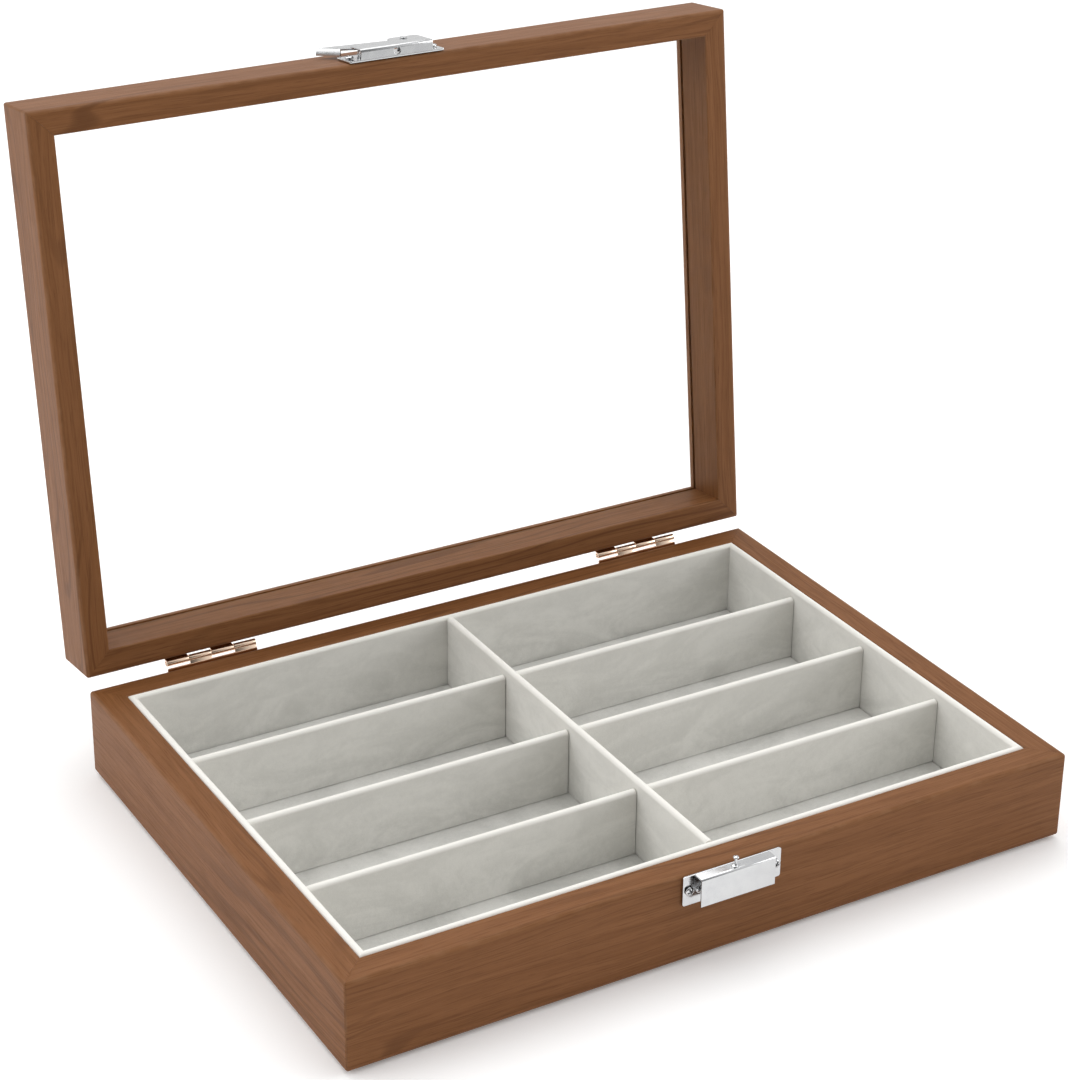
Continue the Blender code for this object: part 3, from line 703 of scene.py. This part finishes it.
# painted highlight along the lining's round top
liner_rim_highlight = rim_highlight_near(liner_outline[:, 1], liner_high[2], liner_tip)
for side in SIDES:
    board = mitred_board(SIDES[side][0], liner_outline, liner_rim_highlight, 0.0, sway=swell)
    piece(f"velvet_{side}_lining", [moved(board, on_side(side))], VELVET, "base",
          [f"liner_{side}_wall"])

# %% [markdown]
# The dividers are the same kind of covered board, standing on the floor. The long one runs
# from front to back at the rim's height, and the cross ones stop a little lower.

# %% The dividers


def divider(node_name, along):
    """A covered board inside a node's box: its section has a fully round top and it runs along
    one axis (0 across, 1 back). Its faces swell like the lining's, and its ends stay flat."""
    low, high = (np.array(corner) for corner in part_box(node_name))
    across = 1 - along
    half = (high[across] - low[across]) / 2
    middle = (high[across] + low[across]) / 2
    tip = half - TOP_FLAT
    outline, _ = rounded([(-half, low[2], 0), (half, low[2], 0), (half, high[2], tip),
                          (-half, high[2], tip)], FULL_ROUND_HOLD)
    places = np.linspace(low[along], high[along], 41)
    aside = np.repeat(outline[None, :, 0], len(places), 0)
    up = np.repeat(outline[None, :, 1], len(places), 0)
    run = np.repeat(places[:, None], len(outline), 1)
    ease = np.sin(math.pi * (run - low[along]) / (high[along] - low[along])) ** 0.5
    aside = middle + aside * (1 - 0.05 * ease) + 0.5 * swell(run + middle * 7, up) * ease
    axes = {across: aside, along: run, 2: up}
    made = carried(np.stack([axes[0], axes[1], axes[2]], -1))
    # painted highlight along the divider's round top
    rim_highlight_share = rim_highlight_near(outline[:, 1], high[2], tip)
    made["worn"] = np.repeat(rim_highlight_share[None], len(places), 0).ravel()
    return made


for name in sorted(n for n in frame["nodes"] if n.startswith("divider")):
    made = divider(name, 1 if name == "divider_centre" else 0)
    piece(f"velvet_{name}", [made], VELVET, "base", [name])

# %% [markdown]
# The floor is one covered board under all the dividers, so it is a pressed sheet with soft
# edges. Below it are the bare bottom panel and, glued on, a sheet of felt that keeps the box
# from scratching a table. The felt is the only loose cloth here.

# %% Floor, bottom panel and felt


def flat_sheet(node_name, corner, soft):
    """A pressed sheet filling a node's box, with rounded corners and soft edges."""
    low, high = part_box(node_name)
    return pressed(box_outline(low.x, low.y, high.x, high.y, corner), low.z, high.z, soft)


floor_pad = flat_sheet("floor_pad", 1.0 * MM, 0.4 * MM)
floor_pad["worn"] = np.zeros(len(floor_pad["points"]))
piece("velvet_floor", [floor_pad], VELVET, "base", ["floor_pad"])
piece("bottom_panel", [flat_sheet("base_bottom_panel", 0.5 * MM, 0.15 * MM)], BOARD, "base",
      ["base_bottom_panel"])
felt = piece("felt_under_box", [flat_sheet("base_felt", 3.0 * MM, 0.3 * MM)], FELT, "base",
             ["base_felt"])

# %% [markdown]
# ## Hinges
# A small box hinge is two strips of brass sheet. Tongues on each strip are rolled round a pin,
# and the strips' tongues take turns along it. The roll is a sheet seen edge-on: straight up
# the wall, a short ease outwards, then three quarters of a turn round the pin.

# %% A rolled leaf
hinge_low, hinge_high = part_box("hinge_right_pin")
HINGE_LENGTH = hinge_high.x - hinge_low.x
HINGE_AT = (hinge_high.x + hinge_low.x) / 2
LEAF = 0.6 * MM
LEAF_FACE = -2.2 * MM   # the leaf's wall side, from the pin's axis
LEAF_START = 1.8 * MM
LEAF_REACH = 10.5 * MM
LEAF_CORNER = 0.8 * MM
THIN_SOFT = 0.12 * MM   # softening of thin sheet's edges
KNUCKLE = 1.45 * MM
KNUCKLES = 4
KNUCKLE_GAP = 0.15 * MM
NECK_LOW = -2.5 * MM    # where a tongue leaves the leaf's plane, below the pin
NECK_RISE = 2.3 * MM
ROLL_TURN = (0.25, 5.1)  # start and end of the roll, in radians


def rolled_tongue(start, end):
    """A tongue from the leaf round the pin, between two places along it. Its middle line is
    straight, then eases outwards as half a cosine, then follows a circle of the pin's roll."""
    roll = KNUCKLE - LEAF / 2
    sheet = LEAF_FACE + LEAF / 2
    share = np.linspace(0, 1, 9)[:, None]
    rise = NECK_LOW + share * NECK_RISE
    ease = (1 - np.cos(math.pi * share)) / 2
    neck = np.hstack([sheet + (-roll - sheet) * ease, rise])
    turn = math.pi - np.linspace(*ROLL_TURN, 30)[:, None]
    coil = np.hstack([roll * np.cos(turn), roll * np.sin(turn)])
    outline = strip_outline(np.vstack([neck, coil]), LEAF * 0.96)
    return pressed(outline, start, end, 0.06 * MM)


def leaf_shells(across, way, own):
    """One leaf: a plate below (way -1) or above (way 1) the pin, and its tongues."""
    half = HINGE_LENGTH / 2
    low, high = sorted((way * LEAF_START, way * LEAF_REACH))
    plate = pressed(box_outline(-half, low, half, high, LEAF_CORNER),
                    LEAF_FACE, LEAF_FACE + LEAF, THIN_SOFT)
    plate = moved(plate, lambda p: p[:, (0, 2, 1)] + PINS + (across, 0, 0))
    step = HINGE_LENGTH / KNUCKLES
    shells = [plate]
    for index in own:
        start = -half + index * step + KNUCKLE_GAP
        tongue = rolled_tongue(start, start + step - 2 * KNUCKLE_GAP)
        shells.append(moved(tongue, lambda p: np.stack(
            [p[:, 2] + across, p[:, 0] + PINS[1], -way * p[:, 1] + PINS[2]], 1)))
    return shells


for side, across in (("left", -HINGE_AT), ("right", HINGE_AT)):
    piece(f"brass_{side}_base_leaf", leaf_shells(across, -1, (1, 3)), BRASS, "base",
          [f"hinge_{side}_base_leaf"])
    lid_leaf = [moved(shell, opened) for shell in leaf_shells(across, 1, (0, 2))]
    piece(f"brass_{side}_lid_leaf", lid_leaf, BRASS, "lid", [f"hinge_{side}_lid_leaf"])

# %% [markdown]
# The pins' ends are peened, which leaves them slightly domed. The nails are domed too, and
# their shine makes them the brightest points on the back. Both are turned profiles.

# %% Pins and nails
PIN_RADIUS = 0.55 * MM
NAIL_HEAD = 1.3 * MM
NAIL_SHANK = 0.6 * MM
NAIL_LENGTH = 6.0 * MM
NAIL_RISE = 0.7 * MM


def dome(radius, low, high, steps=8):
    """Profile of a dome from its rim to its top: a quarter of an ellipse."""
    turn = np.linspace(0, math.pi / 2, steps)
    return list(zip(radius * np.cos(turn), low + (high - low) * np.sin(turn)))


def domed_pin(length):
    """A round bar with a low dome on each end."""
    half = length / 2
    top = dome(PIN_RADIUS, half - 0.3 * MM, half)
    return turned([(radius, -height) for radius, height in reversed(top)] + top, 24)


def domed_nail():
    """A nail along the third axis: pointed shank below zero, domed head above it."""
    shank = [(0, -NAIL_LENGTH), (NAIL_SHANK, -NAIL_LENGTH * 0.8), (NAIL_SHANK, 0),
             (NAIL_HEAD * 0.97, 0)]
    return turned(shank + dome(NAIL_HEAD, 0.12 * MM, NAIL_RISE, 10), 32)


for side, across in (("left", -HINGE_AT), ("right", HINGE_AT)):
    pin = moved(domed_pin(HINGE_LENGTH), lambda p: p[:, (2, 0, 1)] + PINS + (across, 0, 0))
    piece(f"brass_{side}_pin", [pin], BRASS, "base", [f"hinge_{side}_pin"])
    for number in (1, 2):
        node_name = f"hinge_{side}_base_nail_{number}"
        low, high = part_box(node_name)
        spot = ((low.x + high.x) / 2, high.y - NAIL_RISE, (low.z + high.z) / 2)
        nail = moved(domed_nail(), lambda p: p[:, (0, 2, 1)] + spot)
        piece(f"brass_{side}_base_nail_{number}", [nail], BRASS, "base", [node_name])
        node_name = f"hinge_{side}_lid_nail_{number}"
        low, high = closed_box(node_name)
        spot = ((low[0] + high[0]) / 2, high[1] - NAIL_RISE, (low[2] + high[2]) / 2)
        nail = moved(domed_nail(), lambda p: opened(p[:, (0, 2, 1)] + spot))
        piece(f"brass_{side}_lid_nail_{number}", [nail], BRASS, "lid", [node_name])

# %% [markdown]
# ## Screws
# The catch is held by cross-head screws. The head is a dome with a cross-shaped pit. On a grid
# of radius and turn the pit is one formula: where the smaller of a point's two distances from
# the arms' middle lines is under half an arm's width, the height drops to the pit's floor.
# The same value marks the pit, which the metal's finish darkens as painted shade.

# %% A cross-head screw
SCREW_HEAD = 1.9 * MM
SCREW_RISE = 1.1 * MM
SCREW_RIM = 0.4 * MM
SCREW_SHANK = 0.9 * MM
SCREW_LENGTH = 8.0 * MM
CROSS_HALF = 0.30 * MM
CROSS_REACH = 1.25 * MM
CROSS_DEPTH = 0.70 * MM


def cross_screw(twist):
    """Height = rim + dome sqrt(1 - (r/R)^2) - depth * pit, where pit eases from 1 to 0 across
    the arms' sides and ends. The shank below is a turned profile."""
    steps = 96
    radius = np.linspace(0, 1, 44)[:, None] * SCREW_HEAD
    turn = np.linspace(0, 2 * math.pi, steps, endpoint=False)[None]
    x, y = radius * np.cos(turn), radius * np.sin(turn)
    nearest = np.minimum(abs(x), abs(y))
    soft = 0.07 * MM
    side = np.clip((CROSS_HALF - nearest) / soft + 0.5, 0, 1)
    end = np.clip((CROSS_REACH - radius) / (4 * soft) + 0.5, 0, 1)
    pit = side * end * (1 - 0.35 * radius / CROSS_REACH)
    crown = np.sqrt(np.clip(1 - (radius / SCREW_HEAD) ** 2, 0, 1))
    height = SCREW_RIM + (SCREW_RISE - SCREW_RIM) * crown - CROSS_DEPTH * pit
    top = np.stack([x, y, height], -1)
    below = [(SCREW_HEAD, 0.08 * MM), (SCREW_HEAD * 0.96, 0), (SCREW_SHANK, 0),
             (SCREW_SHANK, -SCREW_LENGTH * 0.8), (0, -SCREW_LENGTH)]
    lower = turned(below, steps)["points"].reshape(len(below), steps, 3)
    rings = np.concatenate([top, lower]).reshape(-1, 3)
    cosine, sine = math.cos(twist), math.sin(twist)
    rings[:, :2] = rings[:, :2] @ np.array([[cosine, sine], [-sine, cosine]])
    # the pit value is painted shade in the metal's finish
    worn = np.concatenate([0.9 * pit.ravel(), np.zeros(len(below) * steps)])
    return {"points": rings, "faces": grid_faces(len(top) + len(below), steps), "worn": worn}


def facing_front(spot):
    """A place function: the first axis points across, the second up, the third to the front."""
    return lambda p: np.stack([spot[0] + p[:, 0], spot[1] - p[:, 2], spot[2] + p[:, 1]], 1)


for body, prefix in (("base", "catch"), ("lid", "latch")):
    for side, twist in (("left", 0.35), ("right", 1.05)):
        node_name = f"{prefix}_screw_{side}"
        low, high = closed_box(node_name) if body == "lid" else map(np.array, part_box(node_name))
        spot = ((low[0] + high[0]) / 2, low[1] + SCREW_RISE, (low[2] + high[2]) / 2)
        screw = moved(cross_screw(twist), facing_front(spot))
        if body == "lid":
            screw = moved(screw, opened)
        piece(f"chrome_{prefix}_screw_{side}", [screw], CHROME, body, [node_name])

# %% [markdown]
# ## The catch
# The base's half is a plate with a folded cover: a shelf that stands out from the plate and a
# panel that hangs down from the shelf's edge. Sheet metal keeps its thickness in a bend, so
# the fold is the same sheet seen edge-on, carried across. A small stud on the shelf is what
# the latch grips.

# %% Folded covers
SHEET = 0.8 * MM
PLATE_WIDTH = 45.0 * MM
PLATE_HEIGHT = 13.0 * MM
PLATE_STAND = 0.3 * MM
COVER_WIDTH = 34.0 * MM
COVER_STAND = 5.6 * MM
BEND = 0.6 * MM  # radius of a fold's middle line
PLATE_CORNER = 1.0 * MM
SHEET_SOFT = 0.15 * MM
SHELF_INSET = 0.1 * MM


def folded_path(panel, foot=0.7 * MM):
    """Middle line (stand, rise) of a cover: out along the shelf, a quarter circle, then up
    the panel."""
    out = COVER_STAND - SHEET / 2
    turn = np.linspace(-math.pi / 2, 0, 9)
    bend = np.stack([out - BEND + BEND * np.cos(turn), SHEET / 2 + BEND + BEND * np.sin(turn)], 1)
    return np.vstack([[foot, SHEET / 2], [out - BEND - 0.2 * MM, SHEET / 2], bend,
                      [out, SHEET / 2 + BEND + 0.2 * MM], [out, panel]])


def from_wall(seam, way):
    """A place function: (stand, rise, across) of a cover on a front face; way -1 hangs it down."""
    return lambda p: np.stack([p[:, 2], seam[0] - p[:, 0], seam[1] + way * p[:, 1]], 1)


CATCH_PANEL = 12.3 * MM
RIVET = 1.5 * MM
RIVET_SPACING = 15.1 * MM
RIVET_DROP = 7.2 * MM
CATCH_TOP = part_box("catch_body")[1].z
front = -DEPTH / 2
plate = pressed(box_outline(-PLATE_WIDTH / 2, -PLATE_HEIGHT, PLATE_WIDTH / 2, 0, PLATE_CORNER),
                PLATE_STAND, PLATE_STAND + SHEET, SHEET_SOFT)
plate = moved(plate, facing_front((0, front, CATCH_TOP)))
cover = pressed(strip_outline(folded_path(CATCH_PANEL), SHEET),
                -COVER_WIDTH / 2, COVER_WIDTH / 2, SHEET_SOFT)
cover = moved(cover, from_wall((front, CATCH_TOP - SHELF_INSET), -1))
rivet = [(0, 0.2 * MM), (RIVET, 0.2 * MM), (RIVET, 1.3 * MM)] + dome(RIVET, 1.3 * MM, 1.9 * MM)
rivets = [moved(turned(rivet), facing_front((across, front, CATCH_TOP - RIVET_DROP)))
          for across in (-RIVET_SPACING, RIVET_SPACING)]
piece("chrome_catch", [plate, cover] + rivets, CHROME, "base", ["catch_body"])

# %% The catch's stud
nub_low, nub_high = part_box("catch_nub")
nub_spot = ((nub_low.x + nub_high.x) / 2, (nub_low.y + nub_high.y) / 2, 0)
NUB_HEAD = (nub_high.x - nub_low.x) / 2
NUB_NECK = 0.6 * MM
neck_top = nub_high.z - 0.7 * MM
stud = [(0, nub_low.z), (NUB_HEAD, nub_low.z), (NUB_HEAD, nub_low.z + 0.6 * MM),
        (NUB_NECK, nub_low.z + 0.7 * MM), (NUB_NECK, neck_top),
        (NUB_HEAD * 0.9, neck_top + 0.05 * MM)]
stud += dome(NUB_HEAD, neck_top + 0.2 * MM, nub_high.z, 9)
collar_low, collar_in = CATCH_TOP - SHELF_INSET - 0.1 * MM, NUB_NECK * 0.8
collar = [(collar_in, collar_low), (1.7 * MM, collar_low), (1.7 * MM, CATCH_TOP + 0.15 * MM),
          (1.3 * MM, CATCH_TOP + 0.4 * MM), (collar_in, CATCH_TOP + 0.45 * MM),
          (collar_in, collar_low)]
stud, collar = (moved(turned(profile), lambda p: p + nub_spot) for profile in (stud, collar))
piece("chrome_stud", [stud, collar], CHROME, "base", ["catch_nub"])

# %% [markdown]
# ## The latch
# The lid's half has the same kind of plate and cover, mirrored, with a mouth in its shelf for
# the stud. Its panel is deeper on the right, where it also carries the lever's pivot. The
# shelf is a pressed sheet with a round hole, the fold a short strip, and the panel another
# pressed sheet, each meeting the next edge to edge. A ribbed post stands at the left end.

# %% The latch's plate and cover
LATCH_PANEL = 10.7 * MM
LOBE_LEFT = 2.0 * MM
LOBE_HEIGHT = 15.5 * MM
NUB_HOLE = 1.6 * MM
NUB_STAND = 3.0 * MM
PIVOT_HOLE = 1.3 * MM
PLATE_RISE = 0.3 * MM
POST_AT = np.array([-14.4, 5.6]) * MM  # across, above the lid's lower edge
seam_up = LID_LOW
shelf_up = LID_LOW + PLATE_RISE + SHELF_INSET
PIVOT = np.array(next(j for j in frame["joints"] if j["name"] == "latch_lever_pivot")["pos_m"])
PIVOT = turned_about_pins(PIVOT[None], -OPEN_TURN)[0]
PIVOT_X, PIVOT_UP = PIVOT[0], PIVOT[2] - seam_up
half = COVER_WIDTH / 2
fold_start = COVER_STAND - SHEET / 2 - BEND - 0.2 * MM
plate = pressed(box_outline(-PLATE_WIDTH / 2, PLATE_RISE, PLATE_WIDTH / 2,
                            PLATE_HEIGHT + PLATE_RISE, PLATE_CORNER),
                PLATE_STAND, PLATE_STAND + SHEET, SHEET_SOFT)
plate = moved(plate, facing_front((0, front, seam_up)))
shelf = pressed(box_outline(-half, 0.7 * MM, half, fold_start), 0, SHEET, THIN_SOFT,
                holes=[circle(NUB_HOLE, (0, NUB_STAND), 40)])
shelf = moved(shelf, lambda p: np.stack([p[:, 0], front - p[:, 1], shelf_up + p[:, 2]], 1))
bend_path = folded_path(SHEET / 2 + BEND + 0.4 * MM, foot=fold_start)[1:]
fold = pressed(strip_outline(bend_path, SHEET), -half, half, THIN_SOFT)
fold = moved(fold, from_wall((front, shelf_up), 1))
panel_foot = SHEET / 2 + BEND + 0.35 * MM  # overlaps the fold's end a little
corner = PLATE_CORNER
panel_outline, _ = rounded([
    (-half, panel_foot, 0), (half, panel_foot, 0), (half, LOBE_HEIGHT, 2 * corner),
    (LOBE_LEFT, LOBE_HEIGHT, 3 * corner), (LOBE_LEFT, LATCH_PANEL, corner),
    (-half, LATCH_PANEL, corner)])
panel = pressed(panel_outline, COVER_STAND - SHEET, COVER_STAND, SHEET_SOFT,
                holes=[circle(PIVOT_HOLE, (PIVOT_X, PIVOT_UP - PLATE_RISE - SHELF_INSET), 40)])
panel = moved(panel, facing_front((0, front, shelf_up)))
ribs = [(0, 1.1), (2.0, 1.1), (2.0, 1.6), (1.5, 1.8), (1.5, 2.1), (1.9, 2.3), (1.9, 2.8),
        (1.4, 3.0), (1.4, 3.3), (1.7, 3.5), (1.7, 4.0), (0.9, 4.3), (0, 4.4)]
post = moved(turned(np.array(ribs) * MM), facing_front((POST_AT[0], front, seam_up + POST_AT[1])))
latch = [moved(shell, opened) for shell in (plate, shelf, fold, panel, post)]
piece("chrome_latch", latch, CHROME, "lid", ["latch_body"])

# %% [markdown]
# The lever is a flat plate between the latch's plate and cover. Its right end turns on a
# rivet, a hook below the rivet grips the stud, and a flange bent down at the left end is
# what the finger pushes. A coil spring sits round the rivet.

# %% The lever
LEVER_TOP = COVER_STAND - SHEET - 0.3 * MM
LEVER_LOW = LEVER_TOP - SHEET
TAB_FAR = np.array([-27.5, 22.2]) * MM
TAB_NEAR = np.array([-20.5, 13.2]) * MM
HOOK_LEFT, HOOK_RISE, HOOK_HEIGHT = 0.9 * MM, 1.9 * MM, 0.6 * MM
HOOK_LENGTH, HOOK_END = 3.3 * MM, 2.1 * MM
BOSS = 3.6 * MM
FLANGE_END = 1.4 * MM
FLANGE_LEAN = 0.2


def lever_outline():
    """Hook arm, a round boss about the pivot, and a tapering tab, counter-clockwise."""
    clear = HOOK_LEFT + 0.7 * MM
    turn = np.radians(np.linspace(-60, 90, 25))
    boss = np.stack([PIVOT_X + BOSS * np.cos(turn), PIVOT_UP + BOSS * np.sin(turn)], 1)
    arm = np.array([(clear, HOOK_RISE), (clear + 2.6 * MM, HOOK_RISE),
                    (PIVOT_X - BOSS + 1.5 * MM, PIVOT_UP - 1.5 * BOSS)])
    under = np.array([TAB_NEAR, TAB_NEAR + (8.5 * MM, -5.0 * MM), (clear, HOOK_RISE + 3.1 * MM)])
    return np.vstack([arm, boss, [TAB_FAR], under])


to_front = facing_front((0, front, seam_up))
lever = pressed(lever_outline(), LEVER_LOW, LEVER_TOP, THIN_SOFT,
                holes=[circle(PIVOT_HOLE, (PIVOT_X, PIVOT_UP), 40)])
run = TAB_FAR - TAB_NEAR
aside = np.array([run[1], -run[0]]) * SHEET / np.linalg.norm(run)
flange = pressed([TAB_FAR, TAB_NEAR, TAB_NEAR + aside, TAB_FAR + aside],
                 FLANGE_END, LEVER_TOP, THIN_SOFT)
lean = FLANGE_LEAN * (LEVER_TOP - flange["points"][:, 2:])
flange["points"][:, :2] -= lean * aside / SHEET
hook = pressed(box_outline(HOOK_LEFT, HOOK_RISE, HOOK_LEFT + HOOK_LENGTH, HOOK_RISE + HOOK_HEIGHT),
               HOOK_END, LEVER_TOP)
lever = [moved(moved(shell, to_front), opened) for shell in (lever, flange, hook)]
piece("chrome_lever", lever, CHROME, "latch_lever", ["latch_lever"])

# %% Rivet and spring
SPRING_RADIUS = 1.7 * MM
SPRING_WIRE = 0.3 * MM
SPRING_TURNS = 2
PIVOT_HEAD = 1.7 * MM
to_pivot = facing_front((PIVOT_X, front, seam_up + PIVOT_UP))
rivet = [(0, 0.3 * MM), (1.0 * MM, 0.3 * MM), (1.0 * MM, COVER_STAND + 0.3 * MM),
         (PIVOT_HEAD * 0.97, COVER_STAND + 0.3 * MM)]
rivet += dome(PIVOT_HEAD, COVER_STAND + 0.42 * MM, COVER_STAND + SHEET, 9)
piece("chrome_rivet", [moved(moved(turned(rivet), to_pivot), opened)], CHROME, "lid",
      ["latch_pivot_pin"])


def coil(start, end, steps=36, sides=12):
    """A wire tube on a helix: the helix point plus a circle of the wire's radius across it."""
    count = steps * SPRING_TURNS + 1
    turn = np.linspace(0, 2 * math.pi * SPRING_TURNS, count)[:, None]
    stand = np.linspace(start, end, count)[:, None]
    side = np.linspace(0, 2 * math.pi, sides, endpoint=False)[None]
    radius = SPRING_RADIUS + SPRING_WIRE * np.cos(side)
    return carried(np.stack([radius * np.cos(turn), radius * np.sin(turn),
                             stand + SPRING_WIRE * np.sin(side)], -1))


spring = coil(PLATE_STAND + SHEET + 0.3 * MM + SPRING_WIRE, LEVER_LOW - 0.3 * MM - SPRING_WIRE)
piece("chrome_spring", [moved(moved(spring, to_pivot), opened)], CHROME, "lid",
      ["latch_spring"])

# %% [markdown]
# ## Floor, light and camera
# The object stands on a plain white floor. A large soft panel above and behind, a weaker one
# on each side, and a surround that is dim towards the front left give bright tops and sides
# and darker fronts. Direct colours are kept, so white stays white.

# %% The studio
bpy.context.scene.view_settings.view_transform = "Standard"


def studio_floor(half_size, height):
    """A large flat square just under the object, matt and very slightly uneven in tone."""
    mesh = bpy.data.meshes.new("studio_floor")
    corners = [(-half_size, -half_size, height), (half_size, -half_size, height),
               (half_size, half_size, height), (-half_size, half_size, height)]
    mesh.from_pydata(corners, [], [(0, 1, 2, 3)])
    material, tree, shader = finish("studio_floor", {
        "Roughness": 0.9, "Specular IOR Level": 0.1, "Emission Strength": 0.14,
        "Emission Color": colour(1.0, 1.0, 1.0)})
    tone = blended(tree, noise(tree, object_place(tree), 3.0), colour(0.95, 0.95, 0.95),
                   colour(0.97, 0.97, 0.97))
    tree.links.new(tone, shader.inputs["Base Color"])
    mesh.materials.append(material)
    made = bpy.data.objects.new("studio_floor", mesh)
    bpy.context.scene.collection.objects.link(made)
    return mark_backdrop(made)


def soft_panel(name, place, target, size, power):
    """A square area light that faces a target."""
    light = bpy.data.lights.new(name, "AREA")
    light.size, light.energy = size, power
    made = bpy.data.objects.new(name, light)
    bpy.context.scene.collection.objects.link(made)
    made.location = place
    made.rotation_euler = (Vector(target) - Vector(place)).to_track_quat("-Z", "Y").to_euler()
    return made


def surround(bright, dim, towards):
    """The world's light: bright, and dim in one horizontal direction, by the angle to it."""
    world = bpy.data.worlds.new("surround")
    bpy.context.scene.world = world
    world.use_nodes = True
    tree = world.node_tree
    way = node(tree, "TexCoord").outputs["Generated"]
    facing = node(tree, "VectorMath", {0: way, 1: towards}, operation="DOT_PRODUCT")
    tone = blended(tree, spread(tree, facing.outputs["Value"], 0.35, 0.95), bright, dim)
    tree.links.new(tone, tree.nodes["Background"].inputs["Color"])


studio_floor(6.0, -0.05 * MM)
surround(colour(0.84, 0.84, 0.84), colour(0.08, 0.08, 0.08), (-0.50, -0.85, 0.17))
soft_panel("overhead_panel", (0.1, 0.6, 1.7), (0, 0, 0.1), 1.8, 15)
soft_panel("left_panel", (-1.5, 0.4, 0.9), (0, 0.1, 0.2), 1.0, 7)
soft_panel("right_panel", (1.7, -0.9, 0.8), (0.1, -0.1, 0.05), 1.0, 10)
print("studio ready")

# %% The camera
VIEW = {"azimuth": -31.062, "elevation": 24.940, "roll": 1.027, "distance": 1.11856,
        "across": 0.00152, "up": 0.15249, "lens": 93.08, "shift": (-0.0409, -0.0578)}


def camera_axes(azimuth, elevation, roll):
    """Right, up and back axes: back comes from the two angles and right is level; then right
    and up are turned by the roll."""
    level = math.cos(elevation)
    back = np.array([math.sin(azimuth) * level, -math.cos(azimuth) * level, math.sin(elevation)])
    right = np.cross([0, 0, 1], back)
    right /= np.linalg.norm(right)
    up = np.cross(back, right)
    cosine, sine = math.cos(roll), math.sin(roll)
    return cosine * right + sine * up, -sine * right + cosine * up, back


axes = camera_axes(*(math.radians(VIEW[name]) for name in ("azimuth", "elevation", "roll")))
camera_data = bpy.data.cameras.new("camera")
camera_data.lens = VIEW["lens"]
camera_data.shift_x, camera_data.shift_y = VIEW["shift"]
camera = bpy.data.objects.new("camera", camera_data)
bpy.context.scene.collection.objects.link(camera)
place = np.array([VIEW["across"], 0, VIEW["up"]]) + axes[2] * VIEW["distance"]
camera.matrix_world = Matrix.Translation(place) @ Matrix(np.array(axes).T.tolist()).to_4x4()
bpy.context.scene.camera = camera
print("camera at", place.round(3))
